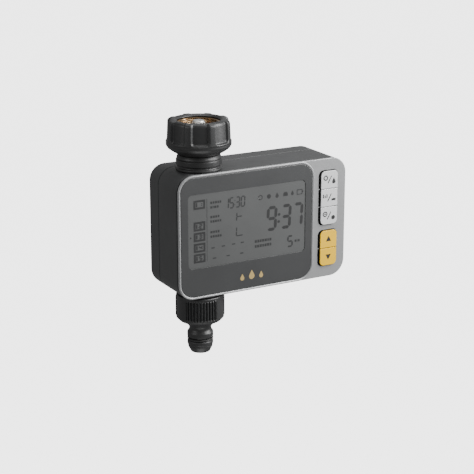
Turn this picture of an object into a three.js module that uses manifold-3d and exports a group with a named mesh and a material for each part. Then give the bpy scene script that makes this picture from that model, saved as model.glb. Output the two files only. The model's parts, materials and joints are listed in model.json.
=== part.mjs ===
// A hose-tap irrigation controller: a battery-powered water timer that hangs from a garden tap.
// Millimetres, +Z up. The origin is on the water axis, at the sealing face of the filter washer
// inside the inlet nut. +X runs to the right across the display, and the display faces -Y.
import * as THREE from "three";
import { mergeVertices } from "three/addons/utils/BufferGeometryUtils.js";
import Module from "manifold-3d";

const wasm = await Module();
wasm.setup();

// ---------------------------------------------------------------- driving dimensions

// The case: its outline in front view, and the depths of its layers.
const BODY_WIDTH = 125;
const BODY_HEIGHT = 82;
const BODY_CORNER = 11;
const BODY_CENTRE_X = 39.3;
const BODY_TOP = -19.4;
const FRONT = -16.6;
const REAR = 29.4;
const WALL = 2.2;
const REAR_FILLET = 5;
const CLEAR = 0.3;
const LEFT = BODY_CENTRE_X - BODY_WIDTH / 2;
const RIGHT = LEFT + BODY_WIDTH;
const BOTTOM = BODY_TOP - BODY_HEIGHT;

const BEZEL_EDGE = 1.6;
const BEZEL_BACK = FRONT + 2.2;
const KEY_PANEL_FRONT = FRONT + 0.4;
const GROOVE_DEPTH = 1.6;
const FACE_FRONT = BEZEL_BACK + 0.2;
const FACE_BACK = FACE_FRONT + WALL;
const SHELL_FRONT = FACE_FRONT + 1;
const SPLIT = 12.6;
const SPLIT_GAP = 0.4;

// The display, from front to back.
const LENS = { x0: -21.5, x1: 75.5, z0: -99.7, z1: -21.1, corner: 9.3 };
const LENS_RIM = 1.6;
const LENS_FRONT = FRONT + 0.35;
const LENS_THICK = 1.3;
const GASKET_FRONT = LENS_FRONT + LENS_THICK + 0.1;
const GASKET_THICK = 0.6;
const LCD = { x0: -18.3, x1: 72.5, z0: -83.4, z1: -29.4, corner: 1 };
const LCD_FRONT = FACE_FRONT - 0.2;
const LCD_THICK = 2.6;
const REFLECTOR_THICK = 0.6;
const REFLECTOR_FRONT = LCD_FRONT + LCD_THICK + CLEAR;
const BOARD = { x0: 13, x1: 97, z0: -95.6, z1: -25, corner: 1.5 };
const BOARD_FRONT = -8.4;
const BOARD_THICK = 1.6;
const BOARD_SCREW_X = 76.2;
const BOARD_SCREW_Z = [-29.5, -91.5];

// The keys: two groups in a column, three silver keys over two yellow ones.
const KEY = { x0: 81.9, x1: 94.8, height: 12.04, gap: 0.3, corner: 3 };
const KEY_FRONT = KEY_PANEL_FRONT - 1.25;
const KEY_TRAVEL = 0.8;
const KEY_FLANGE_THICK = 1;
const KEY_FLANGE_FRONT = FACE_BACK + CLEAR;
const KEY_FLANGE_REACH = 1.4;
const KEY_GROUPS = [
  { top: -27.8, names: ["select_key_1", "select_key_2", "select_key_3"], slot: "silver" },
  { top: -68.8, names: ["up_key", "down_key"], slot: "yellow" },
];
const POCKET = { left: 1.2, right: 0.5, top: 0.3, bottom: 0.4 };
const MEMBRANE_FRONT = KEY_FLANGE_FRONT + KEY_FLANGE_THICK + KEY_TRAVEL + CLEAR;
const MEMBRANE_THICK = BOARD_FRONT - CLEAR - MEMBRANE_FRONT;

// The swivel nut on top, all lathe profiles as [radius, height].
const NUT_TOP = 13;
const NUT_OUTER = 21.1;
const NUT_RECESS = 20;
const NUT_RECESSES = 8;
const NUT_RECESS_ARC = THREE.MathUtils.degToRad(25.5);
const NUT_RECESS_FROM = -0.4;
const NUT_FIRST_RECESS = THREE.MathUtils.degToRad(-116.1);
const NUT_MOUTH = 13.8;
const NUT_BOTTOM = -9.4;
const INSERT_OUTER = 16;
const INSERT_BORE = 12.3;
const INSERT_TOP = 11.2;
const INSERT_BOTTOM = -1;
const WASHER_OUTER = 11.8;
const WASHER_BORE = 7.4;
const WASHER_THICK = 2.4;
const FILTER_TOP = 12;

// The water path, centred on the origin's axis.
const NECK_OUTER = 8.6;
const NECK_BORE = 6;
const NECK_FLANGE = 11.6;
const NECK_END = -41.3;
const COLLAR_TOP = -9.6;
const BODY_TUBE = 10.55;
const BODY_FLANGE = 13.4;
const FLANGE_THICK = 2.4;
const FRONT_LIMIT = FACE_BACK + CLEAR;
const BALL_Z = -50;
const BALL_RADIUS = 8.3;
const BALL_BORE = 5;
const SEAT_GAP = 0.3;
const SEAT_OUTER = 8.3;
const SEAT_BORE = 5.2;
const SEAT_REACH = 8.4;
const STEM_RADIUS = 2.7;
const STEM_BOSS = 5;
const STEM_BOSS_END = 13.1;
const SPIGOT_FLANGE = 15;
const SPIGOT_THREAD = 13.1;
const SPIGOT_END = -115.5;
const SPIGOT_TOP = -84;
const ADAPTOR_TOP = -103;
const ADAPTOR_RADIUS = 15.8;
const GRIP_HEIGHT = 0.4;
const GRIP_FROM = -118.5;
const GRIP_TO = -104.8;
const ADAPTOR_END = -143.6;
const ADAPTOR_FLOOR = -118.3;
const NOZZLE_BORE = 4.2;
const GRIP_PANELS = 3;
const GRIP_ARC = THREE.MathUtils.degToRad(73);
const GRIP_FIRST_PANEL = THREE.MathUtils.degToRad(-113);

// The gear train behind the valve: every axis runs along Y.
const GEAR_MODULE = 0.8;
const PRESSURE_ANGLE = THREE.MathUtils.degToRad(25);
const GEAR_ADDENDUM = 0.8;
const GEAR_DEDENDUM = 1.1;
const GEAR_BACKLASH = 0.16;
const CENTRE_SLACK = 0.15;
const BALL_TEETH = 40;
const WHEEL_TEETH = 36;
const PINION_TEETH = 12;
const LAYER_1 = { front: 15, back: 18 };
const LAYER_2 = { front: 19, back: 21.4 };
const LAYER_3 = { front: 22.2, back: 24.4 };
const CASE_FRONT = 13.4;
const CASE_FLOOR = 1.4;
const CASE_BACK = 25.2;
const CASE_WALL = 1.4;
const LID_THICK = 1.2;
const SHAFT_RADIUS = 1;
const MOTOR_RADIUS = 7.7;
const MOTOR_FRONT = -6.2;
const MOTOR_BACK = 13;

// The battery compartment at the right of the rear.
const CELL_RADIUS = 7.25;
const CELL_LENGTH = 49.5;
const CELL_NUB = 1;
const CELL_Y = 18.6;
const CELL_X = [64.6, 79.6];
const CELL_BOTTOM = -87.5;
const TRAY = { x0: 56, x1: 88.2, z0: -89.6, z1: -31.4, front: 10.2, back: 21.2, wall: 1.1 };
const DOOR_OPENING = { x0: 57, x1: 87.2, z0: -93.1, z1: -27.7, corner: 2 };
const LEDGE_WIDTH = 1.8;
const LEDGE_FRONT = 24;
const LEDGE_BACK = 26.2;
const SEAL_THICK = 0.6;
const DOOR_FRONT = LEDGE_BACK + SEAL_THICK + 0.3;

// The screws that hold the two shells together.
const SCREW_BOSS = 3.6;
const SCREW_SHANK = 1.4;
const SCREW_HEAD = 2.8;
const SCREW_HEAD_Y = 20;
const SCREW_TIP_Y = 2;
const BOSS_FRONT = -5;
const SCREWS = [
  { x: -16.5, z: -31, wall: LEFT },
  { x: -16.5, z: -90, wall: LEFT },
  { x: 95.3, z: -27, wall: RIGHT },
  { x: 95.3, z: -94, wall: RIGHT },
];

// ---------------------------------------------------------------- solids

// A closed three.js geometry as a solid that can be joined and cut.
function solid(geometry) {
  const bare = geometry.index ? geometry.toNonIndexed() : geometry.clone();
  bare.deleteAttribute("normal");
  bare.deleteAttribute("uv");
  const merged = mergeVertices(bare, 1e-4);
  return new wasm.Manifold(
    new wasm.Mesh({
      numProp: 3,
      vertProperties: merged.attributes.position.array,
      triVerts: new Uint32Array(merged.index.array),
    }),
  );
}

// A solid as a geometry for a mesh.
function geometryOf(body) {
  const mesh = body.getMesh();
  const positions = new Float32Array(mesh.numVert * 3);
  for (let i = 0; i < mesh.numVert; i++) {
    const start = i * mesh.numProp;
    positions.set(mesh.vertProperties.subarray(start, start + 3), i * 3);
  }
  return new THREE.BufferGeometry()
    .setAttribute("position", new THREE.BufferAttribute(positions, 3))
    .setIndex(new THREE.BufferAttribute(mesh.triVerts, 1));
}

const joined = (...bodies) => bodies.reduce((all, body) => all.add(body));
const without = (body, ...cuts) => cuts.reduce((rest, cut) => rest.subtract(cut), body);

// A box between two corners.
function block(x0, y0, z0, x1, y1, z1) {
  const geometry = new THREE.BoxGeometry(x1 - x0, y1 - y0, z1 - z0);
  geometry.translate((x0 + x1) / 2, (y0 + y1) / 2, (z0 + z1) / 2);
  return solid(geometry);
}

// A rectangle with round corners in front view, as a shape of (x, z).
function roundedShape(x0, z0, x1, z1, r) {
  const shape = new THREE.Shape();
  shape.absarc(x1 - r, z1 - r, r, 0, Math.PI / 2);
  shape.absarc(x0 + r, z1 - r, r, Math.PI / 2, Math.PI);
  shape.absarc(x0 + r, z0 + r, r, Math.PI, Math.PI * 1.5);
  shape.absarc(x1 - r, z0 + r, r, Math.PI * 1.5, Math.PI * 2);
  return shape;
}

// A front-view shape of (x, z) given thickness between two depths.
function plate(shape, front, back, curveSegments = 2) {
  const options = { depth: back - front, bevelEnabled: false, curveSegments };
  const geometry = new THREE.ExtrudeGeometry(shape, options);
  geometry.rotateX(Math.PI / 2);
  geometry.translate(0, back, 0);
  return solid(geometry);
}

// A round-cornered plate, its outline pulled in by inset.
function slab({ x0, z0, x1, z1, corner }, front, back, inset = 0) {
  const r = Math.max(corner - inset, 0.2);
  const shape = roundedShape(x0 + inset, z0 + inset, x1 - inset, z1 - inset, r);
  return plate(shape, front, back);
}

const BODY = { x0: LEFT, z0: BOTTOM, x1: RIGHT, z1: BODY_TOP, corner: BODY_CORNER };

// A slab of the case's outline whose rear edge is rounded over.
function roundedBack(inset, front, back, fillet) {
  const { x0, z0, x1, z1, corner } = BODY;
  const r = corner - inset;
  const shape = roundedShape(x0 + inset, z0 + inset, x1 - inset, z1 - inset, r);
  const depth = back - front;
  const geometry = new THREE.ExtrudeGeometry(shape, {
    depth,
    curveSegments: 3,
    bevelThickness: fillet,
    bevelSize: fillet,
    bevelOffset: -fillet,
    bevelSegments: 3,
  });
  geometry.rotateX(Math.PI / 2);
  geometry.translate(0, back - fillet, 0);
  const rearPart = block(x0 - 1, front, z0 - 1, x1 + 1, back + 1, z1 + 1);
  return solid(geometry).intersect(rearPart);
}

// A profile of [radius, height] turned about Z at (x, y). The profile runs counterclockwise
// with the radius to the right, and closes on itself unless both ends are on the axis.
function turned(profile, { x = 0, y = 0, segments = 24 } = {}) {
  const points = profile.map(([radius, height]) => new THREE.Vector2(radius, height));
  const onAxis = profile[0][0] === 0 && profile.at(-1)[0] === 0;
  if (!onAxis) {
    points.push(points[0].clone());
  }
  const geometry = new THREE.LatheGeometry(points, segments);
  geometry.rotateX(Math.PI / 2);
  geometry.translate(x, y, 0);
  return solid(geometry);
}

// The same profile turned about an axis along Y at (x, z), its heights read as depths.
function turnedY(profile, { x = 0, z = 0, segments = 12 } = {}) {
  const points = profile.map(([radius, depth]) => new THREE.Vector2(radius, depth));
  const onAxis = profile[0][0] === 0 && profile.at(-1)[0] === 0;
  if (!onAxis) {
    points.push(points[0].clone());
  }
  const geometry = new THREE.LatheGeometry(points, segments);
  geometry.translate(x, 0, z);
  return solid(geometry);
}

const rodProfile = (r, from, to) => [[0, from], [r, from], [r, to], [0, to]];
const tubeProfile = (bore, r, from, to) => [[bore, from], [r, from], [r, to], [bore, to]];

// A round rod along Z or along Y.
const rod = (r, from, to, options) => turned(rodProfile(r, from, to), options);
const rodY = (r, from, to, options) => turnedY(rodProfile(r, from, to), options);

// A rubber ring about Z.
function ring(radius, section, z) {
  const geometry = new THREE.TorusGeometry(radius, section, 5, 20);
  geometry.translate(0, 0, z);
  return geometry;
}

// A round bar that follows a smooth curve through points.
function bar(points, radius, sides, steps) {
  const path = new THREE.CatmullRomCurve3(points.map((p) => new THREE.Vector3(...p)));
  const corners = [];
  for (let i = 0; i < sides; i++) {
    const angle = (i / sides) * Math.PI * 2;
    corners.push(new THREE.Vector2(radius * Math.cos(angle), radius * Math.sin(angle)));
  }
  const options = { steps, bevelEnabled: false, extrudePath: path };
  return new THREE.ExtrudeGeometry(new THREE.Shape(corners), options);
}

// ---------------------------------------------------------------- materials

const finish = (color, roughness, metalness = 0) =>
  new THREE.MeshStandardMaterial({ color, roughness, metalness, flatShading: true });

const bezelSilver = finish(0xb4b6b7, 0.4, 0.3);
const housingGrey = finish(0x4a4c4d, 0.55);
const fittingBlack = finish(0x232425, 0.35);
const keySilver = finish(0xc8c9ca, 0.4, 0.2);
const keyYellow = finish(0xdcb868, 0.5);
const smokedLens = finish(0x45484a, 0.15);
const lcdGlass = finish(0x7d8588, 0.3);
const whitePlastic = finish(0xe6e6e2, 0.6);
const acetal = finish(0xefeee6, 0.45);
const rubber = finish(0x1d1d1d, 0.8);
const greyRubber = finish(0x6d6f70, 0.8);
const brass = finish(0xb98c4a, 0.35, 1);
const steel = finish(0xb9bcbe, 0.35, 1);
const chrome = finish(0xd8dadc, 0.12, 1);
const boardGreen = finish(0x1f5b3a, 0.5);
const cellWrap = finish(0x3b6ea5, 0.4);

const controller = new THREE.Group();

// Adds a named piece, from a solid or from a geometry.
function add(name, shape, material) {
  const geometry = shape.isBufferGeometry ? shape : geometryOf(shape);
  const mesh = new THREE.Mesh(geometry, material);
  mesh.name = name;
  controller.add(mesh);
}

// ---------------------------------------------------------------- front: bezel, lens and keys

const keyGroupHeight = (group) => {
  const count = group.names.length;
  return count * KEY.height + (count - 1) * KEY.gap;
};

// The outline that a group of keys shares.
function keyGroupOutline(group) {
  const { x0, x1, corner } = KEY;
  return { x0, x1, z0: group.top - keyGroupHeight(group), z1: group.top, corner };
}

// The well around a group of keys, cut through the panels.
function keyPocket(group, front, back) {
  const outline = keyGroupOutline(group);
  const well = {
    x0: outline.x0 - POCKET.left,
    x1: outline.x1 + POCKET.right,
    z0: outline.z0 - POCKET.bottom,
    z1: outline.z1 + POCKET.top,
    corner: KEY.corner + 0.4,
  };
  return slab(well, front, back);
}

function bezel() {
  const face = slab(BODY, FRONT, FRONT + BEZEL_EDGE);
  const back = slab(BODY, FRONT + BEZEL_EDGE, BEZEL_BACK, GROOVE_DEPTH);
  const panelStart = LENS.x1 + LENS_RIM;
  const aroundKeys = block(
    panelStart, FRONT - 1, BOTTOM - 1, RIGHT + 1, KEY_PANEL_FRONT, BODY_TOP + 1,
  );
  return without(
    joined(face, back),
    aroundKeys,
    slab(LENS, FRONT - 1, BEZEL_BACK + 1, -0.2),
    ...KEY_GROUPS.map((group) => keyPocket(group, FRONT - 1, BEZEL_BACK + 1)),
  );
}

function lensGasket() {
  const outer = slab(LENS, GASKET_FRONT, GASKET_FRONT + GASKET_THICK, 0.4);
  return without(outer, slab(LCD, GASKET_FRONT - 1, GASKET_FRONT + 2, -0.6));
}

// One key: its cap, and the flange that keeps it behind the face.
function key(group, index) {
  const z1 = group.top - index * (KEY.height + KEY.gap);
  const z0 = z1 - KEY.height;
  const band = block(KEY.x0 - 5, KEY_FRONT - 1, z0, KEY.x1 + 5, 0, z1);
  const flangeBack = KEY_FLANGE_FRONT + KEY_FLANGE_THICK;
  const cap = slab(keyGroupOutline(group), KEY_FRONT, flangeBack).intersect(band);
  const flange = block(
    KEY.x0 - POCKET.left - KEY_FLANGE_REACH,
    KEY_FLANGE_FRONT,
    z0,
    KEY.x1 + POCKET.right + KEY_FLANGE_REACH,
    flangeBack,
    z1,
  );
  return joined(cap, flange);
}

// The silicone sheet behind the keys, with a low dome under each key.
function keypadMembrane() {
  const margin = KEY_FLANGE_REACH + POCKET.left;
  const top = KEY_GROUPS[0].top;
  const bottom = keyGroupOutline(KEY_GROUPS[1]).z0;
  const sheet = { x0: KEY.x0 - margin, x1: KEY.x1 + margin - 1, z0: bottom, z1: top, corner: 2 };
  let membrane = slab(sheet, MEMBRANE_FRONT + 0.4, MEMBRANE_FRONT + MEMBRANE_THICK);
  const domeX = (KEY.x0 + KEY.x1) / 2;
  for (const group of KEY_GROUPS) {
    for (const index of group.names.keys()) {
      const z = group.top - KEY.height / 2 - index * (KEY.height + KEY.gap);
      const dome = rodY(3.2, MEMBRANE_FRONT, MEMBRANE_FRONT + 0.6, { x: domeX, z });
      membrane = membrane.add(dome);
    }
  }
  return membrane;
}

function addFront() {
  add("bezel", bezel(), bezelSilver);
  add("display_lens", slab(LENS, LENS_FRONT, LENS_FRONT + LENS_THICK), smokedLens);
  add("lens_gasket", lensGasket(), rubber);
  for (const group of KEY_GROUPS) {
    const material = group.slot === "silver" ? keySilver : keyYellow;
    group.names.forEach((name, index) => add(name, key(group, index), material));
  }
  add("keypad_membrane", keypadMembrane(), greyRubber);
}

// ---------------------------------------------------------------- electronics

const BOARD_BACK = BOARD_FRONT + BOARD_THICK;

// The board with its largest parts on the rear side.
function controlBoard() {
  const chip = block(46, BOARD_BACK - 0.1, -84, 58, BOARD_BACK + 1.6, -72);
  const crystal = block(62, BOARD_BACK - 0.1, -80, 66, BOARD_BACK + 2.5, -69);
  const capacitor = rodY(3.5, BOARD_BACK - 0.1, BOARD_BACK + 9, { x: 52, z: -32 });
  const screwHoles = BOARD_SCREW_Z.map((z) =>
    rodY(1.5, BOARD_FRONT - 1, BOARD_BACK + 1, { x: BOARD_SCREW_X, z }),
  );
  const board = slab(BOARD, BOARD_FRONT, BOARD_BACK);
  return without(joined(board, chip, crystal, capacitor), ...screwHoles);
}

const boardScrew = (z) =>
  turnedY(
    [
      [0, -11.6],
      [1, -11.4],
      [1, BOARD_BACK + 0.2],
      [2.2, BOARD_BACK + 0.2],
      [2.2, BOARD_BACK + 1.2],
      [1.4, BOARD_BACK + 1.7],
      [0, BOARD_BACK + 1.7],
    ],
    { x: BOARD_SCREW_X, z },
  );

function addElectronics() {
  const { x0, x1, z0, z1 } = LCD;
  add("lcd_panel", slab(LCD, LCD_FRONT, LCD_FRONT + LCD_THICK), lcdGlass);
  const reflector = { x0, x1, z0, z1: z1 - 2.6, corner: 1 };
  const reflectorBack = REFLECTOR_FRONT + REFLECTOR_THICK;
  add("lcd_reflector", slab(reflector, REFLECTOR_FRONT, reflectorBack), whitePlastic);
  add(
    "zebra_strip",
    block(15, LCD_FRONT + LCD_THICK + 0.2, z1 - 2.2, 70, BOARD_FRONT - 0.2, z1 - 0.2),
    greyRubber,
  );
  add("control_board", controlBoard(), boardGreen);
  BOARD_SCREW_Z.forEach((z, index) => add(`board_screw_${index + 1}`, boardScrew(z), steel));
}

// ---------------------------------------------------------------- the two shells

// A web between a screw boss and the side wall next to it.
function bossWeb({ x, z, wall }, front, back) {
  const inside = wall === LEFT ? wall + WALL / 2 : wall - WALL / 2;
  return block(Math.min(x, inside), front, z - 1.2, Math.max(x, inside), back, z + 1.2);
}

function frontHousing() {
  const shell = slab(BODY, SHELL_FRONT, SPLIT, 0.2);
  const face = slab(BODY, FACE_FRONT, SHELL_FRONT + 0.1, GROOVE_DEPTH);
  const hollow = slab(BODY, FACE_BACK, SPLIT + 1, WALL + 0.2);
  const bosses = SCREWS.map(({ x, z }) => rodY(SCREW_BOSS, BOSS_FRONT, SPLIT, { x, z }));
  const webs = SCREWS.map((screw) => bossWeb(screw, BOSS_FRONT, SPLIT));
  const posts = BOARD_SCREW_Z.map((z) =>
    rodY(2.6, FACE_BACK - 0.1, BOARD_FRONT - CLEAR, { x: BOARD_SCREW_X, z }),
  );
  const pilots = BOARD_SCREW_Z.map((z) =>
    rodY(1.3, FACE_BACK - 0.1, BOARD_FRONT + 1, { x: BOARD_SCREW_X, z }),
  );
  const threads = SCREWS.map(({ x, z }) =>
    rodY(SCREW_SHANK + CLEAR, SCREW_TIP_Y - 1, SPLIT + 1, { x, z }),
  );
  return without(
    joined(shell.add(face).subtract(hollow), ...bosses, ...webs, ...posts),
    slab(LCD, FACE_FRONT - 1, FACE_BACK + 1, -CLEAR),
    ...KEY_GROUPS.map((group) => keyPocket(group, FACE_FRONT - 1, FACE_BACK + 1)),
    rod(NECK_FLANGE + 0.2, BODY_TOP - WALL - 1, BODY_TOP + 1),
    rod(NECK_OUTER + CLEAR, BOTTOM - 1, BOTTOM + WALL + 1),
    ...pilots,
    ...threads,
  );
}

function rearHousing() {
  const front = SPLIT + SPLIT_GAP;
  const shell = roundedBack(0.2, front, REAR, REAR_FILLET);
  const hollow = roundedBack(WALL + 0.2, front - 1, REAR - WALL, REAR_FILLET - WALL);
  const bosses = SCREWS.map(({ x, z }) => rodY(SCREW_BOSS, front, REAR - WALL + 0.1, { x, z }));
  const webs = SCREWS.map((screw) => bossWeb(screw, front, REAR - WALL));
  const holes = SCREWS.map(({ x, z }) =>
    joined(
      rodY(SCREW_SHANK + CLEAR, front - 1, REAR + 1, { x, z }),
      rodY(SCREW_HEAD + CLEAR, SCREW_HEAD_Y - CLEAR, REAR + 1, { x, z }),
    ),
  );
  const frame = slab(DOOR_OPENING, LEDGE_FRONT, REAR - WALL + 0.1, -2 * LEDGE_WIDTH);
  return without(
    joined(shell.subtract(hollow), ...bosses, ...webs, frame),
    slab(DOOR_OPENING, LEDGE_FRONT - 1, REAR + 1),
    slab(DOOR_OPENING, LEDGE_BACK, REAR + 1, -LEDGE_WIDTH),
    ...holes,
  );
}

// The door is a plug that snaps into its frame: a finger notch at the top edge lifts it.
function batteryDoor() {
  const plateBody = slab(DOOR_OPENING, DOOR_FRONT, REAR, CLEAR - LEDGE_WIDTH);
  const middle = (DOOR_OPENING.x0 + DOOR_OPENING.x1) / 2;
  const notchZ = DOOR_OPENING.z1 + LEDGE_WIDTH - CLEAR;
  const notch = rodY(6, REAR - 1.1, REAR + 1, { x: middle, z: notchZ, segments: 24 });
  return plateBody.subtract(notch);
}

const housingScrew = ({ x, z }) =>
  turnedY(
    [
      [0, SCREW_TIP_Y],
      [SCREW_SHANK, SCREW_TIP_Y + 1],
      [SCREW_SHANK, SCREW_HEAD_Y],
      [SCREW_HEAD, SCREW_HEAD_Y],
      [SCREW_HEAD, SCREW_HEAD_Y + 1.4],
      [1.8, SCREW_HEAD_Y + 2],
      [0, SCREW_HEAD_Y + 2],
    ],
    { x, z },
  );

function addShells() {
  add("front_housing", frontHousing(), housingGrey);
  add("rear_housing", rearHousing(), housingGrey);
  add("battery_door", batteryDoor(), housingGrey);
  const sealBack = LEDGE_BACK + 0.15 + SEAL_THICK;
  const sealOuter = slab(DOOR_OPENING, LEDGE_BACK + 0.15, sealBack, 0.4 - LEDGE_WIDTH);
  const sealHole = slab(DOOR_OPENING, LEDGE_BACK - 1, sealBack + 1, -0.2);
  add("battery_door_seal", sealOuter.subtract(sealHole), rubber);
  SCREWS.forEach((screw, index) => add(`housing_screw_${index + 1}`, housingScrew(screw), steel));
}

// ---------------------------------------------------------------- batteries

function batteryTray() {
  const { x0, x1, z0, z1, front, back, wall } = TRAY;
  const outer = block(x0, front, z0, x1, back, z1);
  const hollow = block(x0 + wall, front + wall, z0 + wall, x1 - wall, back + 1, z1 - wall);
  const middle = (CELL_X[0] + CELL_X[1]) / 2;
  const divider = block(middle - 0.1, front, z0 + 12, middle + 0.1, front + 3, z1 - 12);
  return outer.subtract(hollow).add(divider);
}

// A cell whose raised contact points up or down.
function cell(x, nubUp) {
  const bodyFrom = nubUp ? CELL_BOTTOM : CELL_BOTTOM + CELL_NUB;
  const bodyTo = bodyFrom + CELL_LENGTH;
  const can = rod(CELL_RADIUS, bodyFrom, bodyTo, { x, y: CELL_Y, segments: 24 });
  const nub = nubUp
    ? rod(2.7, bodyTo - 0.1, bodyTo + CELL_NUB, { x, y: CELL_Y })
    : rod(2.7, CELL_BOTTOM, bodyFrom + 0.1, { x, y: CELL_Y });
  return can.add(nub);
}

// A conical wire spring that presses on a cell's flat end.
function contactSpring(x) {
  const turns = 2.5;
  const stepsInTurn = 12;
  const low = CELL_BOTTOM + CELL_LENGTH + CELL_NUB + 0.6;
  const high = TRAY.z1 - TRAY.wall - 0.7;
  const points = [];
  for (let i = 0; i <= turns * stepsInTurn; i++) {
    const along = i / (turns * stepsInTurn);
    const angle = along * turns * Math.PI * 2;
    const radius = 2 + 2.2 * along;
    const z = low + (high - low) * along;
    points.push([x + radius * Math.cos(angle), CELL_Y + radius * Math.sin(angle), z]);
  }
  return bar(points, 0.35, 5, turns * stepsInTurn);
}

function addBatteries() {
  const [first, second] = CELL_X;
  add("battery_tray", batteryTray(), whitePlastic);
  add("battery_1", cell(first, false), cellWrap);
  add("battery_2", cell(second, true), cellWrap);
  add("contact_spring", contactSpring(first), steel);
  const tabZ = CELL_BOTTOM + CELL_LENGTH + CELL_NUB + 0.4;
  const tab = joined(
    block(second - 4, CELL_Y - 4, tabZ, second + 4, CELL_Y + 2, tabZ + 0.4),
    block(second - 4, CELL_Y - 4, tabZ, second + 4, CELL_Y - 3.6, TRAY.z1 - TRAY.wall - 0.3),
  );
  add("contact_tab", tab, steel);
  const bridgeZ = TRAY.z0 + TRAY.wall + 0.2;
  add(
    "contact_bridge",
    block(first - 4, CELL_Y - 4, bridgeZ, second + 4, CELL_Y + 2, CELL_BOTTOM - 0.2),
    steel,
  );
  const leadX = first + 7.5;
  const lead = [
    [leadX, TRAY.front - 0.3, -60],
    [leadX, 6, -60],
    [leadX, 1, -64],
    [leadX, BOARD_BACK + 0.3, -64],
  ];
  add("battery_lead", bar(lead, 0.8, 8, 14), rubber);
}

// ---------------------------------------------------------------- inlet: nut, filter and neck

// A sector of a ring about Z, for grip recesses and grip panels.
function ringSector(inner, outer, middle, arc, from, to) {
  const shape = new THREE.Shape();
  shape.absarc(0, 0, outer, middle - arc / 2, middle + arc / 2, false);
  shape.absarc(0, 0, inner, middle + arc / 2, middle - arc / 2, true);
  const options = { depth: to - from, bevelEnabled: false, curveSegments: Math.ceil(arc / 0.2) };
  const geometry = new THREE.ExtrudeGeometry(shape, options);
  geometry.translate(0, 0, from);
  return solid(geometry);
}

function inletNut() {
  const body = turned(
    [
      [NECK_OUTER + CLEAR, NUT_BOTTOM],
      [13.5, NUT_BOTTOM],
      [16.9, -7.4],
      [19.8, -5.4],
      [NUT_OUTER, -3.4],
      [20.5, 10.8],
      [18.6, NUT_TOP],
      [NUT_MOUTH, NUT_TOP],
      [NUT_MOUTH, INSERT_TOP + CLEAR],
      [INSERT_OUTER + 0.2, INSERT_TOP + CLEAR],
      [INSERT_OUTER + 0.2, INSERT_BOTTOM - CLEAR],
      [NECK_FLANGE + 0.6, INSERT_BOTTOM - CLEAR],
      [NECK_FLANGE + 0.6, -5.1],
      [NECK_OUTER + CLEAR, -5.1],
    ],
    { segments: 32 },
  );
  const recesses = [];
  for (let i = 0; i < NUT_RECESSES; i++) {
    const middle = NUT_FIRST_RECESS + (i * Math.PI * 2) / NUT_RECESSES;
    const args = [middle, NUT_RECESS_ARC, NUT_RECESS_FROM, NUT_TOP + 1];
    recesses.push(ringSector(NUT_RECESS, NUT_OUTER + 3, ...args));
  }
  return without(body, ...recesses);
}

// The threaded insert: its bore is plain, at the thread's smallest diameter.
const brassInsert = () =>
  turned([
    [INSERT_OUTER, INSERT_BOTTOM],
    [INSERT_OUTER, INSERT_TOP],
    [INSERT_BORE + 0.8, INSERT_TOP],
    [INSERT_BORE, INSERT_TOP - 0.8],
    [INSERT_BORE, INSERT_BOTTOM],
  ]);

// The mesh cone, closed at the top, with a flange that rests on the neck.
function filterScreen() {
  const wall = 0.7;
  const foot = 7.1;
  const tip = 3.8;
  const flangeTop = 0.8 - WASHER_THICK;
  return turned([
    [foot - 1.3, -WASHER_THICK],
    [foot, -WASHER_THICK],
    [foot, flangeTop],
    [foot - 0.4, flangeTop],
    [tip, FILTER_TOP - 0.6],
    [tip - 0.8, FILTER_TOP],
    [0, FILTER_TOP],
    [0, FILTER_TOP - wall],
    [tip - 1, FILTER_TOP - wall],
    [tip - wall, FILTER_TOP - 1],
    [foot - 1.3, flangeTop],
  ]);
}

function inletNeck() {
  const top = -WASHER_THICK - 0.2;
  const groove = { top: -25.6, bottom: -27.2, radius: 7.5 };
  return turned([
    [NECK_BORE, NECK_END],
    [NECK_OUTER, NECK_END],
    [NECK_OUTER, groove.bottom],
    [groove.radius, groove.bottom],
    [groove.radius, groove.top],
    [NECK_OUTER, groove.top],
    [NECK_OUTER, top - 2.2],
    [NECK_FLANGE, top - 2.2],
    [NECK_FLANGE, top],
    [NECK_BORE, top],
  ]);
}

// The stepped collar between the nut and the case; its foot drops into the case's top hole.
function neckCollar() {
  const bore = NECK_OUTER + 0.2;
  const footBottom = BODY_TOP - WALL - 0.1;
  const seat = BODY_TOP + 0.2;
  return turned(
    [
      [bore, footBottom],
      [NECK_FLANGE - 0.2, footBottom],
      [NECK_FLANGE - 0.2, seat],
      [14.9, seat],
      [14.9, -17.8],
      [14, -17.4],
      [14, -16.4],
      [14.8, -15.9],
      [14.8, -12.7],
      [14, -12.4],
      [14.4, -12],
      [13.4, COLLAR_TOP],
      [bore, COLLAR_TOP],
    ],
    { segments: 28 },
  );
}

function addInlet() {
  add("inlet_nut", inletNut(), fittingBlack);
  add("brass_insert", brassInsert(), brass);
  add("filter_washer", turned(tubeProfile(WASHER_BORE, WASHER_OUTER, -WASHER_THICK, 0)), rubber);
  add("filter_screen", filterScreen(), steel);
  add("inlet_neck", inletNeck(), brass);
  add("neck_collar", neckCollar(), fittingBlack);
  add("neck_o_ring", ring(8.2, 0.5, -26.4), rubber);
}

// ---------------------------------------------------------------- valve

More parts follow.
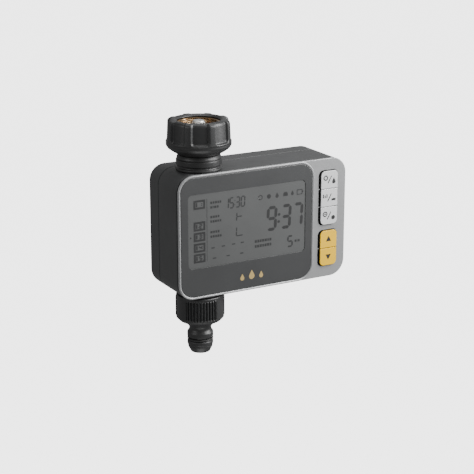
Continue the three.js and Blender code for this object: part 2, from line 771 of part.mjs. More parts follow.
function valveBody() {
  const top = BODY_TOP - WALL - 0.4;
  const bottom = BOTTOM + WALL + 0.5;
  const ledge = BALL_Z - SEAT_REACH - 0.2;
  const shell = turned([
    [SEAT_BORE, ledge],
    [SEAT_BORE, SPIGOT_TOP + 1],
    [NECK_OUTER + CLEAR, SPIGOT_TOP],
    [NECK_OUTER + CLEAR, bottom],
    [BODY_FLANGE, bottom],
    [BODY_FLANGE, bottom + FLANGE_THICK],
    [BODY_TUBE, bottom + FLANGE_THICK],
    [BODY_TUBE, top - FLANGE_THICK],
    [BODY_FLANGE, top - FLANGE_THICK],
    [BODY_FLANGE, top],
    [NECK_OUTER + CLEAR, top],
    [NECK_OUTER + CLEAR, NECK_END - 0.2],
    [BALL_RADIUS + CLEAR, NECK_END - 0.4],
    [BALL_RADIUS + CLEAR, ledge],
  ]);
  const boss = rodY(STEM_BOSS, BALL_RADIUS + 1, STEM_BOSS_END, { z: BALL_Z });
  const stemHole = rodY(STEM_RADIUS + CLEAR, 6, STEM_BOSS_END + 1, { z: BALL_Z });
  const behindFace = block(-30, FRONT_LIMIT, BOTTOM - 30, 30, REAR, 0);
  return shell.add(boss).subtract(stemHole).intersect(behindFace);
}

// The ball stands closed: its bore runs along X, across the water path.
function valveBall() {
  const sphere = new THREE.SphereGeometry(BALL_RADIUS, 18, 10);
  const bore = new THREE.CylinderGeometry(BALL_BORE, BALL_BORE, BALL_RADIUS * 3, 16);
  bore.rotateZ(Math.PI / 2);
  const slot = block(-2.6, BALL_RADIUS - 1.9, -1.2, 2.6, BALL_RADIUS + 1, 1.2);
  return solid(sphere).subtract(solid(bore)).subtract(slot).translate(0, 0, BALL_Z);
}

// A seat ring above (side 1) or below (side -1) the ball, its inner face hollowed to suit it.
function seat(side) {
  const reach = BALL_RADIUS + SEAT_GAP;
  const onBall = (radius) => Math.sqrt(reach * reach - radius * radius);
  const profile = [
    [SEAT_BORE, onBall(SEAT_BORE)],
    [6.7, onBall(6.7)],
    [8, onBall(8)],
    [SEAT_OUTER, onBall(8)],
    [SEAT_OUTER, SEAT_REACH],
    [SEAT_BORE, SEAT_REACH],
  ].map(([radius, height]) => [radius, BALL_Z + side * height]);
  return turned(side > 0 ? profile : profile.reverse());
}

// The stem's tongue fits the ball's slot, and its rear end has a flat for the gear.
function ballStem() {
  const end = LAYER_1.back + 0.6;
  const tongue = block(-2.2, BALL_RADIUS - 1.6, BALL_Z - 0.9, 2.2, BALL_RADIUS + 0.6, BALL_Z + 0.9);
  const stem = turnedY(
    [
      [0, BALL_RADIUS + 0.4],
      [STEM_RADIUS, BALL_RADIUS + 0.4],
      [STEM_RADIUS, 10.3],
      [STEM_RADIUS - 0.8, 10.3],
      [STEM_RADIUS - 0.8, 11.5],
      [STEM_RADIUS, 11.5],
      [STEM_RADIUS, end],
      [0, end],
    ],
    { z: BALL_Z },
  );
  const flat = block(STEM_RADIUS - 0.7, CASE_FRONT, BALL_Z - 5, 5, end + 1, BALL_Z + 5);
  return stem.add(tongue).subtract(flat);
}

function stemRing() {
  const geometry = new THREE.TorusGeometry(2.42, 0.42, 5, 14);
  geometry.rotateX(Math.PI / 2);
  geometry.translate(0, 10.9, BALL_Z);
  return geometry;
}

function addValve() {
  add("valve_body", valveBody(), whitePlastic);
  add("valve_ball", valveBall(), chrome);
  add("seat_upper", seat(1), acetal);
  add("seat_lower", seat(-1), acetal);
  add("ball_stem", ballStem(), brass);
  add("stem_o_ring", stemRing(), rubber);
}

// ---------------------------------------------------------------- outlet

const outletSpigot = () =>
  turned(
    [
      [SEAT_BORE, SPIGOT_END],
      [SPIGOT_THREAD - 0.8, SPIGOT_END],
      [SPIGOT_THREAD, SPIGOT_END + 0.8],
      [SPIGOT_THREAD, ADAPTOR_TOP + 0.3],
      [SPIGOT_FLANGE, ADAPTOR_TOP + 0.3],
      [SPIGOT_FLANGE, BOTTOM - 0.2],
      [NECK_OUTER, BOTTOM - 0.2],
      [NECK_OUTER, SPIGOT_TOP - 0.4],
      [SEAT_BORE, SPIGOT_TOP - 0.4],
    ],
    { segments: 28 },
  );

// The quick-connect hose nozzle: a ribbed union nut that narrows to a grooved tail.
function outletAdaptor() {
  const body = turned(
    [
      [NOZZLE_BORE, ADAPTOR_END],
      [6.4, ADAPTOR_END],
      [6.95, -142.4],
      [8.05, -140.2],
      [8.2, -138.8],
      [8.6, -138],
      [8.6, -135.8],
      [7.6, -135.3],
      [7.6, -133.4],
      [8.65, -133],
      [8.65, -130],
      [7.5, -128.2],
      [7.3, -127.1],
      [7.6, -125.6],
      [9.8, -123.3],
      [13.9, -121.2],
      [ADAPTOR_RADIUS, -119.2],
      [ADAPTOR_RADIUS, ADAPTOR_TOP - 0.6],
      [ADAPTOR_RADIUS - 0.6, ADAPTOR_TOP],
      [SPIGOT_THREAD + CLEAR, ADAPTOR_TOP],
      [SPIGOT_THREAD + CLEAR, ADAPTOR_FLOOR],
      [NOZZLE_BORE, ADAPTOR_FLOOR],
    ],
    { segments: 28 },
  );
  const panels = [];
  for (let i = 0; i < GRIP_PANELS; i++) {
    const middle = GRIP_FIRST_PANEL + (i * Math.PI * 2) / GRIP_PANELS;
    const args = [middle, GRIP_ARC, GRIP_FROM, GRIP_TO];
    panels.push(ringSector(ADAPTOR_RADIUS - 1, ADAPTOR_RADIUS + GRIP_HEIGHT, ...args));
  }
  return joined(body, ...panels);
}

function addOutlet() {
  add("outlet_spigot", outletSpigot(), fittingBlack);
  add("outlet_adaptor", outletAdaptor(), fittingBlack);
  add("outlet_washer", turned(tubeProfile(6, 12.8, ADAPTOR_FLOOR + 0.2, SPIGOT_END - 0.2)), rubber);
  add("nozzle_o_ring", ring(8.15, 0.5, -134.35), rubber);
}

// ---------------------------------------------------------------- gear train

// The distance between the axes of two meshed gears, and the next axis along a line of centres.
const pairDistance = (a, b) => (GEAR_MODULE * (a + b)) / 2 + CENTRE_SLACK;
const stepFrom = (centre, angle, distance) => ({
  x: centre.x + distance * Math.cos(angle),
  z: centre.z + distance * Math.sin(angle),
});
const LINE_1 = THREE.MathUtils.degToRad(-40);
const LINE_2 = THREE.MathUtils.degToRad(10);
const LINE_3 = THREE.MathUtils.degToRad(110);
const BALL_AXIS = { x: 0, z: BALL_Z };
const IDLER_2_AXIS = stepFrom(BALL_AXIS, LINE_1, pairDistance(BALL_TEETH, PINION_TEETH));
const IDLER_1_AXIS = stepFrom(IDLER_2_AXIS, LINE_2, pairDistance(WHEEL_TEETH, PINION_TEETH));
const MOTOR_AXIS = stepFrom(IDLER_1_AXIS, LINE_3, pairDistance(WHEEL_TEETH, PINION_TEETH));

// Half the angle that a tooth takes up at a radius, from its involute flanks.
function toothHalfAngle(teeth, radius) {
  const pitchRadius = (GEAR_MODULE * teeth) / 2;
  const baseRadius = pitchRadius * Math.cos(PRESSURE_ANGLE);
  const involute = (angle) => Math.tan(angle) - angle;
  const flank = Math.acos(Math.min(1, baseRadius / radius));
  const atPitch = Math.PI / (2 * teeth) - GEAR_BACKLASH / (2 * pitchRadius);
  return atPitch + involute(PRESSURE_ANGLE) - involute(flank);
}

// A spur gear about its axis {x, z}, with the middle of one tooth at the angle firstTooth.
function gear(teeth, firstTooth, axis, front, back) {
  const pitchRadius = (GEAR_MODULE * teeth) / 2;
  const root = pitchRadius - GEAR_DEDENDUM * GEAR_MODULE;
  const tip = pitchRadius + GEAR_ADDENDUM * GEAR_MODULE;
  const rising = [root, pitchRadius, tip];
  const flanks = [...rising.map((r) => [r, -1]), ...rising.toReversed().map((r) => [r, 1])];
  const points = [];
  for (let tooth = 0; tooth < teeth; tooth++) {
    const middle = firstTooth + (tooth * Math.PI * 2) / teeth;
    for (const [radius, side] of flanks) {
      const angle = middle + side * toothHalfAngle(teeth, radius);
      const x = axis.x + radius * Math.cos(angle);
      const z = axis.z + radius * Math.sin(angle);
      points.push(new THREE.Vector2(x, z));
    }
  }
  return plate(new THREE.Shape(points), front, back);
}

// The first tooth of a driven gear whose gap must face back along a line of centres.
const facingGap = (line, teeth) => line + Math.PI + Math.PI / teeth;

function ballGear() {
  const wheel = gear(BALL_TEETH, LINE_1, BALL_AXIS, LAYER_1.front, LAYER_1.back);
  const keyhole = rodY(STEM_RADIUS + 0.15, LAYER_1.front - 1, LAYER_1.back + 1, { z: BALL_Z });
  const flatSide = block(STEM_RADIUS - 0.5, 0, BALL_Z - 5, 5, REAR, BALL_Z + 5);
  const cam = block(-12, LAYER_1.back - 0.1, BALL_Z - 3, -6, LAYER_1.back + 0.6, BALL_Z + 3);
  return without(wheel.add(cam), keyhole.subtract(flatSide));
}

// An idler: a pinion and a wheel side by side on one shaft.
function idler(axis, pinionLine, wheelLine, pinionLayer, wheelLayer) {
  const firstTooth = facingGap(pinionLine, PINION_TEETH);
  const pinion = gear(PINION_TEETH, firstTooth, axis, pinionLayer.front, wheelLayer.front + 0.1);
  const wheel = gear(WHEEL_TEETH, wheelLine, axis, wheelLayer.front, wheelLayer.back);
  const bore = rodY(SHAFT_RADIUS + CLEAR, CASE_FRONT, CASE_BACK, axis);
  return joined(pinion, wheel).subtract(bore);
}

function motorPinion() {
  const firstTooth = facingGap(LINE_3, PINION_TEETH);
  const teeth = gear(PINION_TEETH, firstTooth, MOTOR_AXIS, LAYER_3.front, LAYER_3.back);
  const shaft = rodY(0.9, MOTOR_BACK + 0.2, LAYER_3.back, MOTOR_AXIS);
  return teeth.add(shaft);
}

// The outline that follows the gears, smaller by inset.
function trainSpace(inset, front, back) {
  const rooms = [
    [BALL_AXIS, 18.4],
    [IDLER_2_AXIS, 17],
    [IDLER_1_AXIS, 17],
    [MOTOR_AXIS, 9],
  ];
  return joined(
    ...rooms.map(([axis, r]) => rodY(r - inset, front, back, { ...axis, segments: 24 })),
  );
}

function gearboxCase() {
  const floorBack = CASE_FRONT + CASE_FLOOR;
  const through = (axis, r) => rodY(r, CASE_FRONT - 1, floorBack + 1, axis);
  return without(
    trainSpace(0, CASE_FRONT, CASE_BACK),
    trainSpace(CASE_WALL, floorBack, CASE_BACK + 1),
    through(BALL_AXIS, STEM_RADIUS + CLEAR),
    through(IDLER_2_AXIS, SHAFT_RADIUS + 0.2),
    through(IDLER_1_AXIS, SHAFT_RADIUS + 0.2),
    through(MOTOR_AXIS, 1.4),
  );
}

function motor() {
  const can = rodY(MOTOR_RADIUS, MOTOR_FRONT, MOTOR_BACK - 1, { ...MOTOR_AXIS, segments: 24 });
  const nose = rodY(3, MOTOR_BACK - 1.1, MOTOR_BACK, MOTOR_AXIS);
  const { x, z } = MOTOR_AXIS;
  const flats = block(x - 9, MOTOR_FRONT - 1, z - 6, x + 9, MOTOR_BACK + 1, z + 6);
  return can.add(nose).intersect(flats);
}

function limitSwitch() {
  const body = block(-13, LAYER_2.front + 1, BALL_Z - 6, -6, CASE_BACK - 0.4, BALL_Z + 6);
  const plunger = block(-11, LAYER_1.back + 1, BALL_Z - 1, -9, LAYER_2.front + 1.1, BALL_Z + 1);
  return body.add(plunger);
}

function addGearTrain() {
  const pinionReach = { front: LAYER_1.front };
  add("ball_gear", ballGear(), acetal);
  add("idler_gear_2", idler(IDLER_2_AXIS, LINE_1, LINE_2, pinionReach, LAYER_2), acetal);
  add("idler_gear_1", idler(IDLER_1_AXIS, LINE_2, LINE_3, LAYER_2, LAYER_3), acetal);
  add("motor_pinion", motorPinion(), brass);
  const lidFront = CASE_BACK + CLEAR;
  add("gearbox_case", gearboxCase(), whitePlastic);
  add("gearbox_lid", trainSpace(0, lidFront, lidFront + LID_THICK), whitePlastic);
  [IDLER_2_AXIS, IDLER_1_AXIS].forEach((axis, index) => {
    const shaft = rodY(SHAFT_RADIUS, CASE_FRONT, CASE_BACK + 0.1, axis);
    add(`gear_shaft_${index + 1}`, shaft, steel);
  });
  add("motor", motor(), steel);
  add("limit_switch", limitSwitch(), rubber);
  const { x, z } = MOTOR_AXIS;
  const lead = [
    [x + MOTOR_RADIUS + 0.5, 3, z],
    [x + MOTOR_RADIUS + 4, 3, z],
    [x + MOTOR_RADIUS + 6, 0, z],
    [x + MOTOR_RADIUS + 6, BOARD_BACK + 0.3, z],
  ];
  add("motor_lead", bar(lead, 0.8, 8, 12), rubber);
}

addFront();
addElectronics();
addShells();
addBatteries();
addInlet();
addValve();
addOutlet();
addGearTrain();

export default controller;
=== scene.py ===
# The looks of a hose-tap irrigation controller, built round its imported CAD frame.
# Lengths are millimetres in the frame's own axes until a mesh is made: +X runs to the right across
# the display, the display faces -Y, and +Z points up the water path to the tap.

import json
import math

import bmesh
import bpy
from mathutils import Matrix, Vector


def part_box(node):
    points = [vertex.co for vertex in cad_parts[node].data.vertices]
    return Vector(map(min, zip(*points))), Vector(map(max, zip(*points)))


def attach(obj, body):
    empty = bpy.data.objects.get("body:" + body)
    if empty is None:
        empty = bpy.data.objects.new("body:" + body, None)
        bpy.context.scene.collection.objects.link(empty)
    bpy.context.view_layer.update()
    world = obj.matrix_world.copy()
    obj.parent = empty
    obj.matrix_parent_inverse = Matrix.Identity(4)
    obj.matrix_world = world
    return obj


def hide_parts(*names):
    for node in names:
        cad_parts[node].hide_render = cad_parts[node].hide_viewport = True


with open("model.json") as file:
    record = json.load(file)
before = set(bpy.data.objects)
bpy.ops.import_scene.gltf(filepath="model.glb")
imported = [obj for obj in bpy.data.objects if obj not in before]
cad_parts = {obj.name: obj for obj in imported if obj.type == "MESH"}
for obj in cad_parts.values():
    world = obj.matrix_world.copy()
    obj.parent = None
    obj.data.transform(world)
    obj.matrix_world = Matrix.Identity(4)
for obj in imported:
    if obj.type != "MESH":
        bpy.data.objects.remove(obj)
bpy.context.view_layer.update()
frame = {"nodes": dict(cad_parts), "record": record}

MM = 0.001
scene = bpy.context.scene


def box_mm(node):
    """The lowest and highest corners of a CAD node, in millimetres."""
    low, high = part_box(node)
    return low / MM, high / MM


# ---------------------------------------------------------------- places taken from the frame

BEZEL_LOW, BEZEL_HIGH = box_mm("bezel")
LEFT, FRONT, BOTTOM = BEZEL_LOW
RIGHT, BEZEL_BACK, TOP = BEZEL_HIGH
CENTRE_X = (LEFT + RIGHT) / 2
CENTRE_Z = (BOTTOM + TOP) / 2
CORNER = 11
LENS_LOW, LENS_HIGH = box_mm("display_lens")
RIM = LENS_LOW.x - LEFT - 0.1
PANEL_FRONT = FRONT + 0.4
GROOVE = 1.6
SHELL_LOW, SHELL_HIGH = box_mm("front_housing")
REAR_LOW, REAR_HIGH = box_mm("rear_housing")
REAR = REAR_HIGH.y
WALL = 2.2
NUT_HIGH = box_mm("inlet_nut")[1]
NUT_TOP = NUT_HIGH.z
NUT_RADIUS = NUT_HIGH.x
ADAPTOR_HIGH = box_mm("outlet_adaptor")[1]
THREAD_PITCH = 1.814
SHELL_INSET = 0.2


# ---------------------------------------------------------------- mesh helpers

def mesh_object(name, verts, faces):
    """A mesh object from points in millimetres, its normals facing out."""
    mesh = bpy.data.meshes.new(name)
    mesh.from_pydata([Vector(v) * MM for v in verts], [], faces)
    work = bmesh.new()
    work.from_mesh(mesh)
    bmesh.ops.remove_doubles(work, verts=work.verts, dist=1e-7)
    bmesh.ops.recalc_face_normals(work, faces=work.faces)
    work.to_mesh(mesh)
    work.free()
    obj = bpy.data.objects.new(name, mesh)
    scene.collection.objects.link(obj)
    return obj


def outline(low, high, radii, y, inset=0.0, steps=14):
    """A rectangle with round corners in front view at depth y, as points, drawn in by inset.
    radii is one radius, or four: top right, top left, bottom left, bottom right."""
    (x0, z0), (x1, z1) = low, high
    if not isinstance(radii, tuple):
        radii = (radii,) * 4
    corners = ((x1, z1, 1, 1), (x0, z1, -1, 1), (x0, z0, -1, -1), (x1, z0, 1, -1))
    points = []
    for quarter, ((x, z, side_x, side_z), radius) in enumerate(zip(corners, radii)):
        r = max(radius - inset, 0.04)
        centre_x = x - side_x * (inset + r)
        centre_z = z - side_z * (inset + r)
        for step in range(steps + 1):
            angle = math.pi / 2 * (quarter + step / steps)
            points.append((centre_x + r * math.cos(angle), y, centre_z + r * math.sin(angle)))
    return points


def loft(rings, closed=False):
    """The points and faces of a skin over rings of points. It is capped at both ends unless closed."""
    count = len(rings[0])
    verts = [point for ring in rings for point in ring]
    faces = []
    for i in range(len(rings) if closed else len(rings) - 1):
        a = i * count
        b = ((i + 1) % len(rings)) * count
        for j in range(count):
            k = (j + 1) % count
            faces.append((a + j, a + k, b + k, b + j))
    if not closed:
        faces.append(tuple(range(count)))
        last = (len(rings) - 1) * count
        faces.append(tuple(range(last, last + count)))
    return verts, faces


def lofted(name, low, high, radii, profile, closed=False, steps=14):
    """An outline swept through a profile of (inset, depth)."""
    rings = [outline(low, high, radii, y, inset, steps) for inset, y in profile]
    return mesh_object(name, *loft(rings, closed))


def front_round(front, radius, inset=0.0, steps=4):
    """The profile of an edge that is rounded over towards the front."""
    turn = [math.pi / 2 * i / steps for i in range(steps + 1)]
    return [
        (inset + radius * (1 - math.cos(a)), front + radius * (1 - math.sin(a))) for a in turn
    ]


def softened(profile, radius, steps=3, closed=True):
    """A profile whose corners are rounded by up to radius."""
    points = []
    count = len(profile)
    for i, here in enumerate(profile):
        if not closed and i in (0, count - 1):
            points.append(here)
            continue
        here_v = Vector(here)
        before = Vector(profile[i - 1]) - here_v
        after = Vector(profile[(i + 1) % count]) - here_v
        reach = min(radius, before.length * 0.45, after.length * 0.45)
        start = here_v + before.normalized() * reach
        end = here_v + after.normalized() * reach
        for step in range(steps + 1):
            t = step / steps
            points.append(tuple((1 - t) ** 2 * start + 2 * t * (1 - t) * here_v + t * t * end))
    return points


def turned(name, profile, segments=96, closed=True, shift=None, centre=(0, 0), axis="z"):
    """A profile of (radius, height) turned about Z, or about Y with its heights read as depths.
    shift(angle, radius, height) gives the radius where the surface isn't round."""
    rings = []
    for radius, height in profile:
        ring = []
        for j in range(segments):
            angle = 2 * math.pi * j / segments
            r = shift(angle, radius, height) if shift else radius
            across = centre[0] + r * math.cos(angle)
            along = centre[1] + r * math.sin(angle)
            ring.append((across, along, height) if axis == "z" else (across, height, along))
        rings.append(ring)
    verts, faces = loft(rings, closed)
    if not closed:
        faces = faces[:-2]
    return mesh_object(name, verts, faces)


def block(name, low, high):
    """A box between two corners, for cutting and joining."""
    rings = [
        [(low[0], y, low[2]), (high[0], y, low[2]), (high[0], y, high[2]), (low[0], y, high[2])]
        for y in (low[1], high[1])
    ]
    return mesh_object(name, *loft(rings))


def applied(obj):
    """Makes an object's modifiers part of its mesh."""
    graph = bpy.context.evaluated_depsgraph_get()
    mesh = bpy.data.meshes.new_from_object(obj.evaluated_get(graph))
    obj.modifiers.clear()
    obj.data = mesh


def combine(target, tool, operation):
    """Cuts or joins a tool object into target, and removes the tool."""
    modifier = target.modifiers.new("combine", "BOOLEAN")
    modifier.operation = operation
    modifier.object = tool
    modifier.solver = "EXACT"
    applied(target)
    bpy.data.objects.remove(tool)


def cut(target, *tools):
    for tool in tools:
        combine(target, tool, "DIFFERENCE")


def join(target, *tools):
    for tool in tools:
        combine(target, tool, "UNION")


# ---------------------------------------------------------------- materials

class Nodes:
    """A material's node tree, with short calls for the nodes used here."""

    def __init__(self, name):
        self.material = bpy.data.materials.new(name)
        self.material.use_nodes = True
        self.tree = self.material.node_tree
        self.shader = self.tree.nodes["Principled BSDF"]
        coordinates = self.tree.nodes.new("ShaderNodeTexCoord")
        self.place = coordinates.outputs["Object"]

    def link(self, output, socket):
        self.tree.links.new(output, socket)

    def stretched(self, scale):
        """The place, scaled by a different amount along each axis."""
        node = self.tree.nodes.new("ShaderNodeMapping")
        node.inputs["Scale"].default_value = scale
        self.link(self.place, node.inputs["Vector"])
        return node.outputs["Vector"]

    def noise(self, scale, detail=3.0, place=None):
        node = self.tree.nodes.new("ShaderNodeTexNoise")
        node.inputs["Scale"].default_value = scale
        node.inputs["Detail"].default_value = detail
        self.link(place or self.place, node.inputs["Vector"])
        return node.outputs["Fac"]

    def cells(self, scale):
        node = self.tree.nodes.new("ShaderNodeTexVoronoi")
        node.inputs["Scale"].default_value = scale
        self.link(self.place, node.inputs["Vector"])
        return node.outputs["Distance"]

    def ramp(self, value, low_colour, high_colour, low=0.3, high=0.7):
        node = self.tree.nodes.new("ShaderNodeValToRGB")
        node.color_ramp.elements[0].position = low
        node.color_ramp.elements[1].position = high
        node.color_ramp.elements[0].color = (*low_colour, 1)
        node.color_ramp.elements[1].color = (*high_colour, 1)
        self.link(value, node.inputs["Fac"])
        return node.outputs["Color"]

    def span(self, value, low, high):
        """A value from 0 to 1 spread between low and high."""
        node = self.tree.nodes.new("ShaderNodeMapRange")
        node.inputs["To Min"].default_value = low
        node.inputs["To Max"].default_value = high
        self.link(value, node.inputs["Value"])
        return node.outputs["Result"]

    def bump(self, height, distance, strength=1.0, over=None):
        node = self.tree.nodes.new("ShaderNodeBump")
        node.inputs["Strength"].default_value = strength
        node.inputs["Distance"].default_value = distance * MM
        self.link(height, node.inputs["Height"])
        if over is not None:
            self.link(over, node.inputs["Normal"])
        return node.outputs["Normal"]

    def wear_normal(self, output):
        self.link(output, self.shader.inputs["Normal"])

    def colour(self, output):
        self.link(output, self.shader.inputs["Base Color"])

    def rough(self, output):
        self.link(output, self.shader.inputs["Roughness"])


def tinted(colour, factor):
    return tuple(min(1, c * factor) for c in colour)


def moulded(name, colour, rough, grain=0.02, grain_scale=3500, variation=0.1, metal=0.0):
    """A moulded or painted surface: fine grain, slow waviness, and a little unevenness of tone."""
    m = Nodes(name)
    slow = m.noise(60, 4)
    m.colour(m.ramp(slow, tinted(colour, 1 - variation), tinted(colour, 1 + variation)))
    fine = m.noise(grain_scale, 2)
    m.rough(m.span(m.noise(220, 5), rough - 0.07, rough + 0.07))
    wave = m.bump(m.noise(90, 1), 0.04, 0.5)
    m.wear_normal(m.bump(fine, grain, 0.6, wave))
    m.shader.inputs["Metallic"].default_value = metal
    return m.material


def painted_silver(name, colour, rough, metal):
    """Silver paint: metal flakes under a satin surface."""
    m = Nodes(name)
    flakes = m.cells(5200)
    m.colour(m.ramp(flakes, tinted(colour, 0.88), tinted(colour, 1.1), 0.1, 0.75))
    m.rough(m.span(m.noise(160, 5), rough - 0.06, rough + 0.06))
    m.wear_normal(m.bump(m.noise(2600, 2), 0.01, 0.5))
    m.shader.inputs["Metallic"].default_value = metal
    return m.material


def turned_metal(name, colour, rough, stretch=(300, 300, 9000), variation=0.2):
    """Metal with fine tool lines."""
    m = Nodes(name)
    lines = m.noise(1, 2, m.stretched(stretch))
    m.colour(m.ramp(lines, tinted(colour, 1 - variation), tinted(colour, 1 + variation / 2)))
    m.rough(m.span(m.noise(400, 5), rough - 0.08, rough + 0.12))
    m.wear_normal(m.bump(lines, 0.006, variation * 2))
    m.shader.inputs["Metallic"].default_value = 1.0
    return m.material


def glossy_panel(name, colour, variation=0.06):
    """A printed panel under a clear, polished skin."""
    m = Nodes(name)
    m.colour(m.ramp(m.noise(45, 3), tinted(colour, 1 - variation), tinted(colour, 1 + variation)))
    m.rough(m.span(m.noise(300, 4), 0.42, 0.5))
    m.wear_normal(m.bump(m.noise(30, 1), 0.01, 0.3))
    m.shader.inputs["Coat Weight"].default_value = 0.35
    m.shader.inputs["Coat Roughness"].default_value = 0.12
    return m.material


def rubbery(name, colour):
    """Matt rubber with a fine, slightly dusty skin."""
    m = Nodes(name)
    m.colour(m.ramp(m.noise(120, 4), tinted(colour, 0.8), tinted(colour, 1.3)))
    m.rough(m.span(m.noise(500, 4), 0.5, 0.75))
    m.wear_normal(m.bump(m.noise(2200, 3), 0.02, 0.6))
    return m.material


def cell_skin(name):
    """A battery's printed film, with a coppery band round its upper third."""
    m = Nodes(name)
    split = m.tree.nodes.new("ShaderNodeSeparateXYZ")
    m.link(m.place, split.inputs["Vector"])
    ramp = m.tree.nodes.new("ShaderNodeValToRGB")
    ramp.color_ramp.interpolation = "CONSTANT"
    low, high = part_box("battery_2")
    ramp.color_ramp.elements[0].color = (0.03, 0.035, 0.045, 1)
    ramp.color_ramp.elements[1].position = 0.66
    ramp.color_ramp.elements[1].color = (0.62, 0.3, 0.12, 1)
    height = m.tree.nodes.new("ShaderNodeMapRange")
    height.inputs["From Min"].default_value = low.z
    height.inputs["From Max"].default_value = high.z
    m.link(split.outputs["Z"], height.inputs["Value"])
    m.link(height.outputs["Result"], ramp.inputs["Fac"])
    m.colour(ramp.outputs["Color"])
    m.rough(m.span(m.noise(300, 4), 0.22, 0.36))
    m.wear_normal(m.bump(m.noise(700, 2), 0.01, 0.4))
    return m.material


def circuit_lacquer(name):
    """Green board lacquer over faint copper tracks."""
    m = Nodes(name)
    tracks = m.noise(1, 0, m.stretched((900, 900, 260)))
    m.colour(m.ramp(tracks, (0.012, 0.075, 0.03), (0.03, 0.16, 0.06), 0.48, 0.52))
    m.rough(m.span(m.noise(400, 4), 0.25, 0.4))
    m.wear_normal(m.bump(tracks, 0.03, 0.6))
    return m.material


FINISHES = {
    "bezel_silver": (painted_silver, (0.3, 0.303, 0.307), 0.4, 0.3),
    "housing_grey": (moulded, (0.04, 0.041, 0.042), 0.5, 0.025, 2600, 0.08),
    "fitting_black": (moulded, (0.022, 0.0223, 0.0227), 0.42, 0.012, 3200, 0.12),
    "key_silver": (painted_silver, (0.6, 0.605, 0.61), 0.42, 0.1),
    "key_yellow": (moulded, (0.78, 0.47, 0.008), 0.45, 0.01, 3000, 0.03),
    "lens_smoked": (glossy_panel, (0.038, 0.039, 0.04)),
    "lcd_glass": (glossy_panel, (0.073, 0.075, 0.075)),
    "print_dark": (moulded, (0.026, 0.0265, 0.027), 0.4, 0.005, 3000, 0.05),
    "print_gold": (moulded, (0.55, 0.4, 0.16), 0.35, 0.005, 3000, 0.05, 0.3),
    "reflector_white": (moulded, (0.78, 0.78, 0.76), 0.5),
    "acetal_white": (moulded, (0.76, 0.75, 0.7), 0.42),
    "rubber_black": (rubbery, (0.014, 0.014, 0.014)),
    "rubber_grey": (rubbery, (0.15, 0.155, 0.16)),
    "brass": (turned_metal, (0.4, 0.28, 0.165), 0.24, (60, 60, 2500), 0.1),
    "filter_mesh": (turned_metal, (0.72, 0.72, 0.7), 0.4, (4000, 4000, 4000)),
    "steel": (turned_metal, (0.6, 0.61, 0.62), 0.34),
    "ball_chrome": (turned_metal, (0.8, 0.81, 0.82), 0.12),
    "board_green": (circuit_lacquer,),
    "cell_wrap": (cell_skin,),
}
MATERIALS = {slot: make(slot, *settings) for slot, (make, *settings) in FINISHES.items()}


def finish(obj, slot, body, replaces=(), sharp=32):
    """Gives a piece its material, its shading and the body that it rides on."""
    mesh = obj.data
    mesh.materials.clear()
    mesh.materials.append(MATERIALS[slot])
    for polygon in mesh.polygons:
        polygon.use_smooth = True
        polygon.material_index = 0
    mesh.set_sharp_from_angle(angle=math.radians(sharp))
    flatten = obj.modifiers.new("flatten", "WEIGHTED_NORMAL")
    flatten.keep_sharp = True
    applied(obj)
    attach(obj, body)
    if replaces:
        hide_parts(*replaces)


# ---------------------------------------------------------------- camera and light

YAW = math.radians(29.01)
PITCH = math.radians(16.61)
DISTANCE = 873.0
AIM_RIGHT = -18.06
AIM_UP = -5.97
LENS_MM = 101.8
CLIP_START = 0.05
FLOOR_Z = -1200
FLOOR_REACH = 6000
FLOOR_BEND = 1500
FLOOR_GLOW = 3.5
WORLD_LIGHT = 0.25
LIGHT_TARGET = (39, 0, -60)
LIGHTS = (
    # name, place, width and height, watts
    ("overhead", (60, 60, 900), (800, 700), 5),
    ("back_panel", (480, 870, 280), (800, 350), 0.3),
    ("near_key", (230, -230, 150), (260, 260), 1.7),
    ("right_panel", (760, -420, 330), (420, 900), 13),
    ("left_fill", (-900, -120, 260), (500, 500), 2.2),
    ("low_fill", (-60, -260, -700), (500, 500), 1.6),
)


def add_camera():
    """The camera looks at the bezel's middle from the front left, a little from above."""
    ahead = Vector((
        math.sin(YAW) * math.cos(PITCH), math.cos(YAW) * math.cos(PITCH), -math.sin(PITCH),
    ))
    right = Vector((math.cos(YAW), -math.sin(YAW), 0))
    up = right.cross(ahead)
    middle = Vector((CENTRE_X, FRONT, CENTRE_Z))
    data = bpy.data.cameras.new("camera")
    data.lens = LENS_MM
    data.clip_start = CLIP_START
    camera = bpy.data.objects.new("camera", data)
    camera.location = (middle - ahead * DISTANCE + right * AIM_RIGHT + up * AIM_UP) * MM
    camera.rotation_euler = ahead.to_track_quat("-Z", "Y").to_euler()
    scene.collection.objects.link(camera)
    scene.camera = camera


def add_light(name, place, size, watts):
    """A soft panel of light that faces the object and can't be seen itself."""
    data = bpy.data.lights.new(name, "AREA")
    data.shape = "RECTANGLE"
    data.size = size[0] * MM
    data.size_y = size[1] * MM
    data.energy = watts
    light = bpy.data.objects.new(name, data)
    light.visible_camera = False
    light.location = Vector(place) * MM
    towards = Vector(LIGHT_TARGET) - Vector(place)
    light.rotation_euler = towards.to_track_quat("-Z", "Y").to_euler()
    scene.collection.objects.link(light)


